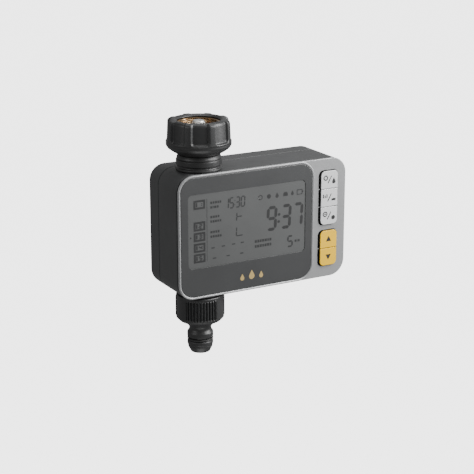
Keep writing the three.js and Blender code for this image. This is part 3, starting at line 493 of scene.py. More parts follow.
def add_stage():
    """A plain pale floor that curves up into a plain surround, and soft light, most of it from the
    right. Only the camera sees the surround, so it doesn't wash out the dark plastics."""
    for settings in LIGHTS:
        add_light(*settings)
    world = bpy.data.worlds.new("surround")
    world.use_nodes = True
    background = world.node_tree.nodes["Background"]
    background.inputs["Color"].default_value = (1, 1, 1, 1)
    background.inputs["Strength"].default_value = WORLD_LIGHT
    scene.world = world
    curve = [
        (FLOOR_REACH - FLOOR_BEND * (1 - math.sin(a)), FLOOR_Z + FLOOR_BEND * (1 - math.cos(a)))
        for a in [math.pi / 2 * i / 8 for i in range(9)]
    ]
    backdrop = turned(
        "floor", [(0, FLOOR_Z), *curve, (FLOOR_REACH, FLOOR_REACH), (0, FLOOR_REACH)], 64,
        closed=False,
    )
    pale = Nodes("floor")
    pale.colour(pale.ramp(pale.noise(3, 2), (0.8, 0.8, 0.8), (0.83, 0.83, 0.83)))
    pale.shader.inputs["Roughness"].default_value = 0.9
    pale.shader.inputs["Emission Color"].default_value = (1, 1, 1, 1)
    pale.shader.inputs["Emission Strength"].default_value = FLOOR_GLOW
    pale.material.cycles.emission_sampling = "NONE"
    backdrop.data.materials.append(pale.material)
    backdrop.visible_diffuse = False
    backdrop.visible_glossy = False
    backdrop.visible_shadow = False


# ---------------------------------------------------------------- bezel, lens and case

CASE_LOW = (LEFT, BOTTOM)
CASE_HIGH = (RIGHT, TOP)
WINDOW_LOW = (CENTRE_X - 55.6, CENTRE_Z - 20.5)
WINDOW_HIGH = (CENTRE_X + 31.2, CENTRE_Z + 28.6)
WINDOW_DEPTH = 0.3
WINDOW_CORNER = 3.2
LENS_CORNER = 9.3
POCKET_CORNER = 3.4
DOOR_CORNER = 3.5
DOOR_RECESS_CORNER = 3.8
DOOR_LEDGE = 1.8
NECK_HOLE = 11.8
OUTLET_HOLE = 8.9
WELL_RADIUS = 3.1
BOSS_RADIUS = 3.6
REAR_FILLET = 5
GRIP_GROOVES = 5
KEY_GROUPS = (
    (("select_key_1", "select_key_2", "select_key_3"), "key_silver"),
    (("up_key", "down_key"), "key_yellow"),
)
KEY_LEFT = RIGHT - 19.9
KEY_RIGHT = RIGHT - 7
POCKET_LEFT = KEY_LEFT - 1.2
POCKET_RIGHT = KEY_RIGHT + 0.5


def key_rows(names):
    """The bottom and top of each key in a group."""
    return [(box_mm(name)[0].z, box_mm(name)[1].z) for name in names]


def pocket(names, front, back, flare):
    """A tool that cuts a key group's well, its mouth widened by flare."""
    rows = key_rows(names)
    low = (POCKET_LEFT, rows[-1][0] - 0.4)
    high = (POCKET_RIGHT, rows[0][1] + 0.3)
    profile = [(-flare, front - 0.5), (-flare, front), (0, front + flare), (0, back)]
    return lofted("pocket", low, high, POCKET_CORNER, profile)


def make_bezel():
    """The silver plate: its raised rim round the lens, and the wells of the keys with their webs."""
    plate = lofted(
        "bezel", CASE_LOW, CASE_HIGH, CORNER,
        [
            (GROOVE, BEZEL_BACK), (GROOVE, FRONT + 1.6), (0.5, FRONT + 1.6), (0.2, FRONT + 1.5),
            (0.06, FRONT + 1.25), *front_round(PANEL_FRONT, 0.45, 0.06),
        ],
    )
    rim_high = (LENS_HIGH.x + 0.1 + RIM, TOP)
    rim = lofted(
        "rim", CASE_LOW, rim_high, CORNER,
        [
            (0.02, FRONT + 1.4), (0, FRONT + 0.85), (0.08, FRONT + 0.5), (0.28, FRONT + 0.2),
            (0.55, FRONT + 0.04), (0.75, FRONT), (0.95, FRONT + 0.04), (1.2, FRONT + 0.18),
            (1.42, FRONT + 0.42), (RIM, FRONT + 0.75), (RIM, FRONT + 1.5), (RIM - 0.3, FRONT + 1.55),
        ],
        closed=True,
    )
    lens_hole = lofted(
        "lens_hole", CASE_LOW, rim_high, CORNER,
        [(RIM - 0.06, FRONT - 1), (RIM - 0.06, BEZEL_BACK + 1)],
    )
    cut(plate, lens_hole)
    join(plate, rim)
    for names, _ in KEY_GROUPS:
        cut(plate, pocket(names, PANEL_FRONT, BEZEL_BACK + 1, 0.22))
        rows = key_rows(names)
        for (_, top), (bottom, _) in zip(rows[1:], rows[:-1]):
            middle = (top + bottom) / 2
            web = block(
                "web",
                (POCKET_LEFT - 0.6, PANEL_FRONT + 0.12, middle - 0.42),
                (KEY_LEFT - 0.15, BEZEL_BACK - 0.3, middle + 0.42),
            )
            join(plate, web)
    finish(plate, "bezel_silver", "case", ["bezel"])


def make_lens():
    """The smoked lens with its sunken window, and the display face in the window."""
    low = (LENS_LOW.x, LENS_LOW.z)
    high = (LENS_HIGH.x, LENS_HIGH.z)
    lens = lofted(
        "display_lens", low, high, LENS_CORNER,
        [(0, LENS_HIGH.y), *front_round(LENS_LOW.y, 0.35)],
    )
    window = lofted(
        "window", WINDOW_LOW, WINDOW_HIGH, WINDOW_CORNER,
        [(-0.05, LENS_LOW.y - 1), (-0.05, LENS_LOW.y), (0, LENS_LOW.y + 0.05),
         (0, LENS_LOW.y + WINDOW_DEPTH + 0.2)],
    )
    cut(lens, window)
    finish(lens, "lens_smoked", "case", ["display_lens"])
    face = lofted(
        "display_face", WINDOW_LOW, WINDOW_HIGH, WINDOW_CORNER,
        [(0.03, LENS_LOW.y + WINDOW_DEPTH + 0.17), (0.03, LENS_LOW.y + WINDOW_DEPTH)],
    )
    finish(face, "lcd_glass", "case")


def screw_places():
    """The middle of each case screw, as (x, z)."""
    middles = []
    for i in range(4):
        low, high = box_mm(f"housing_screw_{i + 1}")
        middles.append(((low.x + high.x) / 2, (low.z + high.z) / 2))
    return middles


def make_front_housing():
    """The front shell: a groove behind the bezel, a tongue at the split, and its holes."""
    split = SHELL_HIGH.y
    shell_front = SHELL_LOW.y + 1
    face_back = SHELL_LOW.y + WALL
    shell = lofted(
        "front_housing", CASE_LOW, CASE_HIGH, CORNER,
        [
            (GROOVE, SHELL_LOW.y), (GROOVE, shell_front + 0.05), (0.9, shell_front + 0.05),
            (0.45, shell_front + 0.15), (0.25, shell_front + 0.5), (SHELL_INSET, shell_front + 1),
            (SHELL_INSET, split - 0.35), (0.3, split - 0.12), (0.5, split), (WALL, split),
            (WALL + 0.2, split - 0.2), (WALL + 0.2, face_back),
        ],
        steps=12,
    )
    tongue = lofted(
        "tongue", CASE_LOW, CASE_HIGH, CORNER,
        [(WALL - 0.1, split - 2), (WALL + 0.35, split - 0.3), (WALL + 0.35, split + 1.6),
         (WALL + 0.9, split + 1.6), (WALL + 0.9, split - 2)],
        closed=True, steps=12,
    )
    join(shell, tongue)
    lcd_low, lcd_high = box_mm("lcd_panel")
    cut(
        shell,
        lofted(
            "lcd_hole", (lcd_low.x - 0.2, lcd_low.z - 0.2), (lcd_high.x + 0.2, lcd_high.z + 0.2),
            1, [(0, SHELL_LOW.y - 1), (0, face_back + 1)],
        ),
        *[pocket(names, SHELL_LOW.y - 0.5, face_back + 1, 0.01) for names, _ in KEY_GROUPS],
        turned(
            "neck_hole",
            [(0, TOP - 5), (NECK_HOLE, TOP - 5), (NECK_HOLE, TOP - 0.7),
             (NECK_HOLE + 0.5, TOP - 0.2), (NECK_HOLE + 0.5, TOP + 2), (0, TOP + 2)],
            64, closed=False,
        ),
        turned(
            "outlet_hole",
            [(0, BOTTOM - 2), (OUTLET_HOLE + 0.5, BOTTOM - 2), (OUTLET_HOLE + 0.5, BOTTOM + 0.2),
             (OUTLET_HOLE, BOTTOM + 0.7), (OUTLET_HOLE, BOTTOM + 5), (0, BOTTOM + 5)],
            64, closed=False,
        ),
    )
    finish(shell, "housing_grey", "case", ["front_housing"])


def make_rear_housing():
    """The rear shell: the battery opening with its ledge, a label recess and four screw wells."""
    split = REAR_LOW.y
    back = [
        (SHELL_INSET + REAR_FILLET * (1 - math.cos(a)), REAR - REAR_FILLET * (1 - math.sin(a)))
        for a in [math.pi / 2 * i / 10 for i in range(11)]
    ]
    inner = REAR - WALL
    shell = lofted(
        "rear_housing", CASE_LOW, CASE_HIGH, CORNER,
        [
            (WALL + 0.2, inner), (WALL + 0.2, split + 0.2), (WALL, split), (0.5, split),
            (0.3, split + 0.12), (SHELL_INSET, split + 0.35), *back,
        ],
        steps=12,
    )
    door_low, door_high = box_mm("battery_door")
    seal_low, _ = box_mm("battery_door_seal")
    recess_low = (door_low.x - 0.3, door_low.z - 0.3)
    recess_high = (door_high.x + 0.3, door_high.z + 0.3)
    ledge_front = seal_low.y - 2.35
    ledge_back = seal_low.y - 0.15
    frame_block = lofted(
        "door_frame", recess_low, recess_high, 5.4,
        [(-DOOR_LEDGE, ledge_front), (-DOOR_LEDGE, inner + 0.3)],
    )
    join(shell, frame_block)
    cut(
        shell,
        lofted(
            "door_opening", recess_low, recess_high, DOOR_RECESS_CORNER,
            [(DOOR_LEDGE, ledge_front - 1), (DOOR_LEDGE, ledge_back + 0.5)],
        ),
        lofted(
            "door_recess", recess_low, recess_high, DOOR_RECESS_CORNER,
            [(0, ledge_back), (0, REAR - 0.25), (-0.25, REAR), (-0.25, REAR + 1)],
        ),
        lofted(
            "label_recess", (LEFT + 20, CENTRE_Z - 18), (LEFT + 62, CENTRE_Z + 18), 2,
            [(0.2, REAR - 0.3), (0, REAR - 0.1), (0, REAR + 1)],
        ),
    )
    head = box_mm("housing_screw_1")[1].y
    for x, z in screw_places():
        well = turned(
            "screw_well",
            [(0, head - 2.4), (WELL_RADIUS, head - 2.4), (WELL_RADIUS, REAR - 0.4),
             (WELL_RADIUS + 0.5, REAR + 0.02), (WELL_RADIUS + 0.5, REAR + 1), (0, REAR + 1)],
            40, closed=False, centre=(x, z), axis="y",
        )
        boss = turned(
            "boss",
            [(0, split + 0.1), (BOSS_RADIUS, split + 0.1), (BOSS_RADIUS, inner + 0.3),
             (0, inner + 0.3)],
            32, closed=False, centre=(x, z), axis="y",
        )
        join(shell, boss)
        cut(shell, well)
    finish(shell, "housing_grey", "case", ["rear_housing"])


def make_battery_door():
    """The door with a finger notch at its top edge and five short grip grooves."""
    low, high = box_mm("battery_door")
    door = lofted(
        "battery_door", (low.x, low.z), (high.x, high.z), DOOR_CORNER,
        [(0.3, low.y), (0, low.y + 0.3), (0, REAR - 0.3), (0.08, REAR - 0.1), (0.3, REAR)],
    )
    middle = (low.x + high.x) / 2
    notch = turned(
        "notch",
        [(0, REAR - 1.1), (5.2, REAR - 1.1), (5.8, REAR - 0.8), (6, REAR - 0.2), (6.2, REAR + 1),
         (0, REAR + 1)],
        64, closed=False, centre=(middle, high.z), axis="y",
    )
    cut(door, notch)
    for row in range(GRIP_GROOVES):
        z = high.z - 10 - 1.8 * row
        reach = 5 - 0.7 * row
        groove = lofted(
            "groove", (middle - reach, z - 0.45), (middle + reach, z + 0.45), 0.44,
            [(0.15, REAR - 0.3), (0, REAR - 0.15), (0, REAR + 1)], steps=4,
        )
        cut(door, groove)
    finish(door, "housing_grey", "battery_door", ["battery_door"])


def make_case_screws():
    """Four screws with a cross recess."""
    low, high = box_mm("housing_screw_1")
    for index, (x, z) in enumerate(screw_places()):
        name = f"housing_screw_{index + 1}"
        head = softened(
            [(0, low.y), (0.5, low.y), (1.4, low.y + 1.4), (1.4, high.y - 2), (2.8, high.y - 2),
             (2.8, high.y - 1), (1.9, high.y), (0, high.y)],
            0.4, closed=False,
        )
        screw = turned(name, head, 32, closed=False, centre=(x, z), axis="y")
        for across, along in ((1.5, 0.3), (0.3, 1.5)):
            slot_tool = block(
                "cross", (x - across, high.y - 1, z - along), (x + across, high.y + 1, z + along),
            )
            cut(screw, slot_tool)
        finish(screw, "steel", "case", [name])


# ---------------------------------------------------------------- keys

CAP_THICK = 0.4
KEY_CORNER = 3
KEY_JOINT_CORNER = 0.35


def make_key(names, index, slot):
    """A black key body with a thin coloured cap on its face."""
    name = names[index]
    low, high = box_mm(name)
    last = len(names) - 1
    top_radius = KEY_CORNER if index == 0 else KEY_JOINT_CORNER
    bottom_radius = KEY_CORNER if index == last else KEY_JOINT_CORNER
    radii = (top_radius, top_radius, bottom_radius, bottom_radius)
    flange_front = high.y - 1
    cap_low = (KEY_LEFT, low.z)
    cap_high = (KEY_RIGHT, high.z)
    body = lofted(
        name, cap_low, cap_high, radii,
        [(0.1, flange_front + 0.3), (0.1, low.y + CAP_THICK + 0.12), (0.3, low.y + CAP_THICK)],
    )
    flange = lofted(
        "flange", (low.x, low.z), (high.x, high.z), 0.3,
        [(0.02, flange_front), (0.02, high.y)],
    )
    join(body, flange)
    finish(body, "rubber_black", name, [name])
    cap = lofted(
        f"{name}_cap", cap_low, cap_high, radii,
        [(0.05, low.y + CAP_THICK - 0.01), *front_round(low.y, 0.3, 0.02)],
    )
    finish(cap, slot, name)


# ---------------------------------------------------------------- printed marks

PRINT_THICK = 0.035


def circle(x, z, radius, steps=20):
    """A filled disc."""
    turn = [2 * math.pi * i / steps for i in range(steps)]
    return [(x + radius * math.cos(a), z + radius * math.sin(a)) for a in turn]


def bar(x0, z0, x1, z1, width):
    """A straight stroke with square ends between two points."""
    side = Vector((z0 - z1, x1 - x0)).normalized() * (width / 2)
    start = Vector((x0, z0))
    end = Vector((x1, z1))
    return [tuple(start - side), tuple(end - side), tuple(end + side), tuple(start + side)]


def segment(x0, z0, x1, z1, width):
    """A stroke of a segmented digit, pointed at both ends."""
    start = Vector((x0, z0))
    end = Vector((x1, z1))
    along = (end - start).normalized() * (width / 2)
    side = Vector((-along.y, along.x))
    return [
        tuple(start), tuple(start + along - side), tuple(end - along - side), tuple(end),
        tuple(end - along + side), tuple(start + along + side),
    ]


def ring(x, z, radius, width, steps=12):
    """A round line of even width, as two half rings that meet."""
    outer, inner = radius + width / 2, radius - width / 2
    halves = []
    for first in (0, math.pi):
        turn = [first + math.pi * i / steps for i in range(steps + 1)]
        halves.append(
            [(x + outer * math.cos(a), z + outer * math.sin(a)) for a in turn]
            + [(x + inner * math.cos(a), z + inner * math.sin(a)) for a in reversed(turn)]
        )
    return halves


def boxed(x0, z0, x1, z1, width):
    """Four strokes round a rectangle, which meet but don't overlap."""
    half = width / 2
    return [
        bar(x0 - half, z0, x1 + half, z0, width),
        bar(x0 - half, z1, x1 + half, z1, width),
        bar(x0, z0 + half, x0, z1 - half, width),
        bar(x1, z0 + half, x1, z1 - half, width),
    ]


def drop(x, z, height):
    """A water drop standing on (x, z)."""
    radius = height * 0.32
    middle = z + radius
    points = []
    for i in range(17):
        angle = math.radians(-210 + 240 * i / 16)
        points.append((x + radius * math.cos(angle), middle + radius * math.sin(angle)))
    points.append((x, z + height))
    return points


DIGIT_SEGMENTS = {
    "0": "abcdef", "1": "bc", "2": "abged", "3": "abgcd", "4": "fgbc", "5": "afgcd",
    "7": "abc", "9": "abcdfg", "L": "fed", "T": "feg",
}


def digit(sign, x, z, width, height, stroke, slant=0.05):
    """A seven-segment sign whose lower left corner is at (x, z), leaning right by slant."""
    half = height / 2
    gap = stroke * 0.12
    level = {"a": height, "g": half, "d": 0}
    upright = {"f": (0, half), "b": (width, half), "e": (0, 0), "c": (width, 0)}
    strokes = []
    for piece in DIGIT_SEGMENTS[sign]:
        if piece in level:
            h = level[piece]
            ends = (gap, h, width - gap, h)
        else:
            across, base = upright[piece]
            ends = (across, base + gap, across, base + half - gap)
        strokes.append([(x + px + slant * pz, z + pz) for px, pz in segment(*ends, stroke)])
    return strokes


def label(x, z, widths, height):
    """A line of small plain blocks of the given widths, where a caption stands."""
    blocks = []
    for width in widths:
        blocks.append([(x, z), (x + width, z), (x + width, z + height), (x, z + height)])
        x += width + 0.45
    return blocks


def printed(name, shapes, surface, slot, body, centre=(0, 0)):
    """Thin print on a surface that faces the front, from outlines of (x, z) about centre."""
    verts = []
    faces = []
    for shape in shapes:
        start = len(verts)
        count = len(shape)
        for depth in (surface - PRINT_THICK, surface - 0.005):
            verts += [(centre[0] + x, depth, centre[1] + z) for x, z in shape]
        faces.append(tuple(start + i for i in range(count)))
        faces.append(tuple(start + count + i for i in reversed(range(count))))
        for i in range(count):
            j = (i + 1) % count
            faces.append((start + i, start + count + i, start + count + j, start + j))
    finish(mesh_object(name, verts, faces), slot, body)


PROGRAM_BOXES = (19.3, 5.1, -1.9, -9.1, -16.1)
CAPTIONS = (
    # left, bottom, widths of the blocks, height
    (-39.6, 21.1, (1.3, 1.2, 1.3, 1.1, 1.1), 1.5),
    (-39.6, 18.1, (1.2, 0.6, 1.6, 1.1), 1.5),
    (-39.6, 11.7, (1.4, 1.3, 1.2, 1.2), 1.5),
    (-39.6, 8.7, (1.1, 1.3, 1.3, 1.1, 1.2), 1.5),
    (-39.6, 1.7, (1.5, 1.2, 1.2, 1.2), 1.5),
    (-39.6, -1.3, (1.2, 1.3, 1.2, 1.3, 1.2), 1.5),
    (-7, -9.4, (1.5, 1.4, 1.2, 1.5, 1.6, 1.1, 1.4), 1.8),
    (-7, -12.8, (1.3, 1.4, 1.6, 1.2, 1.5, 1.5, 1.2), 1.8),
    (23.4, -13.2, (1.2, 0.5, 1.2), 1.6),
)
DIGITS = (
    # sign, left, bottom, width, height, stroke
    ("1", -29.2, 16.6, 2.5, 6.6, 0.85),
    ("5", -25.6, 16.6, 2.5, 6.6, 0.85),
    ("3", -21.1, 16.6, 2.5, 6.6, 0.85),
    ("0", -17.3, 16.6, 2.5, 6.6, 0.85),
    ("T", -20.6, 7.4, 4.0, 5.6, 0.75),
    ("L", -20.8, -2.6, 5.0, 5.8, 0.75),
    ("9", 2.4, -1.9, 5.8, 14.6, 2.1),
    ("3", 13.2, -1.9, 5.8, 14.6, 2.1),
    ("7", 22.3, -1.9, 5.8, 14.6, 2.1),
    ("5", 17.9, -15.6, 3.4, 7, 1.1),
)
DOTS = (
    # middle, radius
    (-22.0, 18.3, 0.35),
    (-21.8, 21.2, 0.35),
    (10.9, 2.6, 0.95),
    (11.2, 7.4, 0.95),
)
DASHES = ((-39, -8.2), (-31.5, -8), (-24, -7.8), (-17.5, -7.6), (-38, -15.2), (-28, -15), (-18, -14.8))
DASH_LENGTH = 2.4


def display_marks():
    """The display's signs, about the case's middle."""
    marks = []
    for number, z in enumerate(PROGRAM_BOXES):
        marks += boxed(-51, z, -44, z + 4.7, 1.3)
        marks.append(bar(-49.5, z + 1, -49.5, z + 3.7, 1.1))
        marks += digit(str(number + 1), -47.8, z + 1.2, 2.0, 2.3, 0.8)
    for caption in CAPTIONS:
        marks += label(*caption)
    for figure in DIGITS:
        marks += digit(*figure)
    for dot in DOTS:
        marks.append(circle(*dot, 10 if dot[2] < 0.5 else 12))
    for x, z in DASHES:
        marks.append(bar(x, z, x + DASH_LENGTH, z, 0.75))
    arrow = [(-54.3, 1.2), (-53, 0.5), (-54.3, -0.2)]
    divider = bar(-42.1, 25, -42.1, -16.5, 0.25)
    cloud = [(14.2, 19.3), (17.6, 19.3), (17.6, 21), (16.8, 22), (15.2, 22), (14.2, 21)]
    battery = [*boxed(24.8, 19.2, 28.6, 22.2, 0.55), bar(29.2, 20.1, 29.2, 21.3, 0.5)]
    icons = [*ring(-3, 20.6, 1.4, 0.6), circle(3.4, 20.6, 1.5), drop(9.5, 18.8, 3.8), cloud,
             drop(21.2, 19.2, 3.2), *battery]
    return [*marks, arrow, divider, *icons]


def make_marks():
    """The display's signs, three drops below it, and a sign on each key."""
    middle = (CENTRE_X, CENTRE_Z)
    face = LENS_LOW.y + WINDOW_DEPTH
    printed("display_signs", display_marks(), face, "print_dark", "case", middle)
    drops = [drop(x, -33.6, height) for x, height in ((-16.5, 4.6), (-9.4, 6.4), (-2.3, 4.6))]
    printed("lens_drops", drops, LENS_LOW.y, "print_gold", "case", middle)
    key_middle = (KEY_LEFT + KEY_RIGHT) / 2
    slash = bar(-1.3, -2.5, 1.5, 2.5, 0.65)
    icons = {
        "select_key_1": [*ring(-3.1, 1.3, 1.4, 0.8), slash, drop(3.3, -3, 4.2)],
        "select_key_2": [bar(-4.7, 0, -4.7, 2.6, 0.75), bar(-3.3, 0, -3.3, 1.8, 0.75),
                         bar(-1.9, 0, -1.9, 2.6, 0.75), slash, bar(1.8, -1.5, 4.9, -1.5, 1.5)],
        "select_key_3": [*ring(-3.1, 1.2, 1.5, 0.7), circle(-3.1, 1.2, 0.6, 12), slash,
                         circle(3.3, -1.6, 1.5, 18)],
        "up_key": [[(-2.1, -1.6), (2.1, -1.6), (0, 2.2)]],
        "down_key": [[(-2.1, 1.6), (0, -2.2), (2.1, 1.6)]],
    }
    for name, shapes in icons.items():
        low, high = box_mm(name)
        centre = (key_middle, (low.z + high.z) / 2)
        printed(f"{name}_sign", shapes, low.y, "print_dark", name, centre)


# ---------------------------------------------------------------- inlet: nut, insert and filter

NUT_RECESSES = 8
NUT_FIRST_RECESS = math.radians(-114.1)
RECESS_DEPTH = 1.75
RECESS_HALF = 6.3
RECESS_BOTTOM = -1.1
RECESS_CORNER = 2.2
RECESS_WALL = 1.2
CROWN_INNER = 16.6
CROWN_HEIGHT = 10.6
CROWN_ROUND = 2.4
SIDE_ROWS = 44


def smooth(t):
    t = min(max(t, 0), 1)
    return t * t * (3 - 2 * t)


def nut_surface(angle, radius, height):
    """The nut's radius with its grip recesses: their lower corners are round, and they run out
    through the crown."""
    if radius < CROWN_INNER or height < RECESS_BOTTOM - 0.2:
        return radius
    pitch = 2 * math.pi / NUT_RECESSES
    turn = (angle - NUT_FIRST_RECESS + pitch / 2) % pitch - pitch / 2
    across = abs(turn) * NUT_RADIUS - (RECESS_HALF - RECESS_CORNER)
    below = (RECESS_BOTTOM + RECESS_CORNER) - height
    outside = math.hypot(max(across, 0), max(below, 0)) + min(max(across, below), 0)
    depth = RECESS_DEPTH * smooth((radius - CROWN_INNER) / 2)
    return radius - depth * smooth((RECESS_CORNER - outside) / RECESS_WALL)


def make_nut():
    """The swivel nut, with its mouth, its grip recesses and the bore for the neck."""
    under = softened(
        [(8.9, -9.4), (13.5, -9.4), (16.9, -7.4), (19.8, -5.4), (NUT_RADIUS, -3.4), (21, -1.4)],
        0.8, 4, closed=False,
    )
    side_from = -1.3
    draft = 0.55
    side = []
    for i in range(SIDE_ROWS + 1):
        t = i / SIDE_ROWS
        side.append((NUT_RADIUS - draft * t, side_from + (CROWN_HEIGHT - side_from) * t))
    top_radius = side[-1][0]
    for i in range(1, 9):
        angle = math.pi / 2 * i / 8
        side.append((top_radius - CROWN_ROUND * (1 - math.cos(angle)),
                     CROWN_HEIGHT + (NUT_TOP - CROWN_HEIGHT) * math.sin(angle)))
    mouth = softened(
        [(16, NUT_TOP), (15.5, NUT_TOP), (14, NUT_TOP - 1), (13.8, 11.5), (16.2, 11.5),
         (16.2, -1.3), (12.2, -1.3), (12.2, -5.1), (8.9, -5.1), (8.9, -7)],
        0.25, 3, closed=False,
    )
    nut = turned("inlet_nut", under + side + mouth, 384, shift=nut_surface)
    finish(nut, "fitting_black", "swivel_nut", ["inlet_nut"], 50)


def thread_wave(angle, height):
    """From 0 at a thread's root to 1 at its crest, for a right-hand helix."""
    phase = (height / THREAD_PITCH - angle / (2 * math.pi)) % 1
    return min(max(abs(phase * 2 - 1) * 1.5 - 0.25, 0), 1)


def make_insert():
    """The brass insert with its internal thread."""
    low, high = box_mm("brass_insert")
    bore = 12.3
    depth = 0.9
    rows = 48
    inside = []
    for i in range(rows + 1):
        inside.append((bore, high.z - 0.4 - (high.z - low.z - 0.8) * i / rows))

    def threaded(angle, radius, height):
        return radius + depth * (1 - thread_wave(angle, height)) if radius == bore else radius

    profile = [(15.6, low.z), (16, low.z + 0.4), (16, high.z - 0.3), (15.7, high.z),
               (13.6, high.z), *inside, (13.4, low.z)]
    insert = turned("brass_insert", profile, 120, shift=threaded)
    finish(insert, "brass", "swivel_nut", ["brass_insert"], 45)


def wire(points, radius, closed):
    """The points and faces of a thin wire with a square section along a line of points."""
    rings = []
    count = len(points)
    for i, point in enumerate(points):
        here = Vector(point)
        ahead = Vector(points[(i + 1) % count] if closed or i < count - 1 else point)
        behind = Vector(points[i - 1] if closed or i > 0 else point)
        along = (ahead - behind).normalized()
        outward = Vector((here.x, here.y, 0)).normalized()
        side = along.cross(outward).normalized()
        outward = side.cross(along)
        corners = (outward, side, -outward, -side)
        rings.append([tuple(here + corner * radius) for corner in corners])
    return loft(rings, closed)


def make_filter():
    """A cone of woven wire with a solid foot and cap."""
    low, high = box_mm("filter_screen")
    foot = high.x - 0.45
    tip = 3.7
    base = low.z + 0.9
    peak = high.z - 0.7
    verts = []
    faces = []

    def add(made):
        start = len(verts)
        verts.extend(made[0])
        faces.extend([tuple(i + start for i in face) for face in made[1]])

    def cone_radius(z):
        return foot + (tip - foot) * (z - base) / (peak - base)

    uprights = 44
    hoops = 20
    weave = 0.09
    for i in range(uprights):
        angle = 2 * math.pi * i / uprights
        line = []
        for step in range(hoops + 1):
            z = base + (peak - base) * step / hoops
            r = cone_radius(z) + (weave if (step + i) % 2 else -weave)
            line.append((r * math.cos(angle), r * math.sin(angle), z))
        add(wire(line, 0.13, False))
    for step in range(1, hoops):
        z = base + (peak - base) * step / hoops
        line = []
        for i in range(uprights):
            angle = 2 * math.pi * i / uprights
            r = cone_radius(z) - (weave if (step + i) % 2 else -weave)
            line.append((r * math.cos(angle), r * math.sin(angle), z))
        add(wire(line, 0.13, True))
    screen = mesh_object("filter_screen", verts, faces)
    finish(screen, "filter_mesh", "filter", ["filter_screen"])
    foot_ring = turned(
        "filter_foot",
        softened([(5.8, low.z), (high.x, low.z), (high.x, base), (foot - 0.6, base)], 0.2), 64,
    )
    finish(foot_ring, "filter_mesh", "filter")
    cap = turned(
        "filter_cap",
        softened([(0, high.z), (tip - 0.4, high.z), (tip + 0.1, peak + 0.1), (tip + 0.1, peak - 0.7),
                  (tip - 0.3, peak - 0.7), (0, peak - 0.2)], 0.3, closed=False),
        64, closed=False,
    )
    finish(cap, "filter_mesh", "filter")
    washer_low, washer_high = box_mm("filter_washer")
    washer = turned(
        "filter_washer",
        softened([(7.4, washer_low.z), (washer_high.x, washer_low.z),
                  (washer_high.x, washer_high.z), (7.4, washer_high.z)], 0.5), 96,
    )
    finish(washer, "rubber_black", "filter", ["filter_washer"])


def make_neck():
    """The neck that the nut turns on, and the stepped collar round it."""
    low, high = box_mm("inlet_neck")
    top = high.z
    flange = high.x
    neck = turned(
        "inlet_neck",
        softened([(6, low.z), (8.6, low.z), (8.6, -27.2), (7.5, -27.2), (7.5, -25.6), (8.6, -25.6),
                  (8.6, top - 2.2), (flange, top - 2.2), (flange, top), (6, top)], 0.3), 96,
    )
    finish(neck, "brass", "case", ["inlet_neck"])
    low, high = box_mm("neck_collar")
    seat = TOP + 0.2
    collar = turned(
        "neck_collar",
        softened([(8.8, low.z), (11.4, low.z), (11.4, seat), (14.9, seat), (14.9, -17.9),
                  (13.9, -17.5), (13.9, -16.3), (14.8, -15.9), (14.8, -12.8), (14.5, -12.45),
                  (14.05, -12.35), (14.05, -12.15), (14.4, -11.95), (14.2, -10.9),
                  (13.4, high.z), (8.8, high.z)], 0.35), 128,
    )
    finish(collar, "fitting_black", "case", ["neck_collar"])


# ---------------------------------------------------------------- outlet

GRIP_PANELS = 3
RIBS_IN_PANEL = 11
RIB_PITCH = math.radians(7.2)
GRIP_FIRST_PANEL = math.radians(-113)
GRIP_LOW = -118.5
GRIP_HIGH = -104.8
RIB_RISE = 0.4
RIB_SINK = 0.65
ADAPTOR_RADIUS = ADAPTOR_HIGH.y - RIB_RISE


def adaptor_surface(angle, radius, height):
    """The union's radius with its three panels of fine grip ribs."""
    if radius < ADAPTOR_RADIUS - 0.01:
        return radius
    panel = 2 * math.pi / GRIP_PANELS
    turn = (angle - GRIP_FIRST_PANEL + panel / 2) % panel - panel / 2
    if abs(turn) > RIB_PITCH * RIBS_IN_PANEL / 2:
        return radius
    crest = min(max(0.5 + 1.1 * math.cos(2 * math.pi * turn / RIB_PITCH), 0), 1)
    end = smooth((height - GRIP_LOW) / 0.8) * smooth((GRIP_HIGH - height) / 0.8)
    return radius + (RIB_RISE * crest - RIB_SINK * (1 - crest)) * end


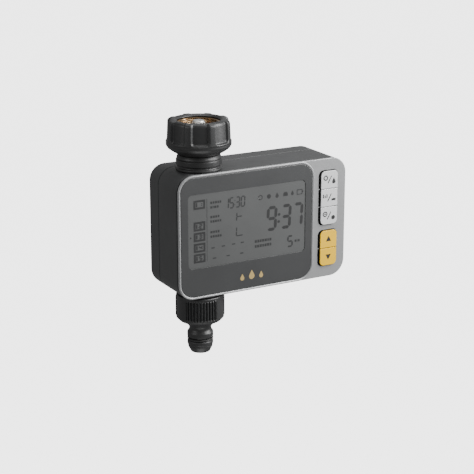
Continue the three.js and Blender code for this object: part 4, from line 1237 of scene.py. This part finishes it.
def make_adaptor():
    """The union with its hose nozzle, and the nozzle's O-ring."""
    r = ADAPTOR_RADIUS
    tail = softened(
        [(4.2, -130), (4.2, -143.6), (6.4, -143.6), (6.95, -142.4), (8.05, -140.2), (8.25, -138.9),
         (8.15, -138.6), (8.25, -138.3), (8.6, -138), (8.6, -135.8), (7.6, -135.3), (7.6, -133.4),
         (8.65, -133), (8.65, -130), (7.5, -128.2), (7.3, -127.1), (7.6, -125.6), (9.8, -123.3),
         (13.9, -121.2), (r - 0.25, -119.4)],
        0.45, 3, closed=False,
    )
    side = [(r, -119.1), (r, -118.8)]
    for i in range(5):
        side.append((r, GRIP_LOW + 0.2 * i))
    side.append((r, -112))
    for i in range(5):
        side.append((r, GRIP_HIGH - 0.8 + 0.2 * i))
    side += [(r, -104.2), (r, -103.7)]
    mouth = softened(
        [(r - 0.02, -103.6), (r - 0.5, ADAPTOR_HIGH.z), (13.4, ADAPTOR_HIGH.z), (13.4, -118.3),
         (4.2, -118.3), (4.2, -125)],
        0.3, 3, closed=False,
    )
    adaptor = turned("outlet_adaptor", tail + side + mouth, 600, shift=adaptor_surface)
    finish(adaptor, "fitting_black", "outlet_adaptor", ["outlet_adaptor"], 45)
    low, high = box_mm("nozzle_o_ring")
    section = (high.z - low.z) / 2
    middle = (high.z + low.z) / 2
    ring = [
        (high.x - section + section * math.cos(a), middle + section * math.sin(a))
        for a in [2 * math.pi * i / 16 for i in range(16)]
    ]
    o_ring = turned("nozzle_o_ring", ring, 96)
    finish(o_ring, "rubber_black", "outlet_adaptor", ["nozzle_o_ring"])


def make_spigot():
    """The threaded outlet that the union screws onto."""
    low, high = box_mm("outlet_spigot")
    thread = 13.1
    bore = 5.2
    thread_top = ADAPTOR_HIGH.z - 0.2
    rows = 66
    side = []
    for i in range(rows + 1):
        side.append((thread, low.z + 0.7 + (thread_top - low.z - 0.7) * i / rows))

    def threaded(angle, radius, height):
        if radius != thread or height > thread_top - 0.6:
            return radius
        return radius - 0.95 * (1 - thread_wave(angle, height))

    profile = [(bore, low.z), (12, low.z), *side, (thread, thread_top + 0.5),
               (14.6, thread_top + 0.5), (15, thread_top + 0.8), (15, BOTTOM - 0.4),
               (14.8, BOTTOM - 0.2), (8.6, BOTTOM - 0.2), (8.6, high.z), (bore, high.z)]
    spigot = turned("outlet_spigot", profile, 120, shift=threaded)
    finish(spigot, "fitting_black", "case", ["outlet_spigot"], 45)


# ---------------------------------------------------------------- the rest of the CAD nodes

def dress_frame():
    """Each CAD node that still shows gets the material of its slot."""
    for part in frame["record"]["subparts"]:
        node = frame["nodes"][part["node"]]
        if node.hide_render:
            continue
        node.data.materials.clear()
        node.data.materials.append(MATERIALS[part["material_slot"]])
        for polygon in node.data.polygons:
            polygon.material_index = 0


add_camera()
add_stage()
make_bezel()
make_lens()
make_front_housing()
make_rear_housing()
make_battery_door()
make_case_screws()
for key_names, key_slot in KEY_GROUPS:
    for key_index in range(len(key_names)):
        make_key(key_names, key_index, key_slot)
make_marks()
make_nut()
make_insert()
make_filter()
make_neck()
make_adaptor()
make_spigot()
dress_frame()
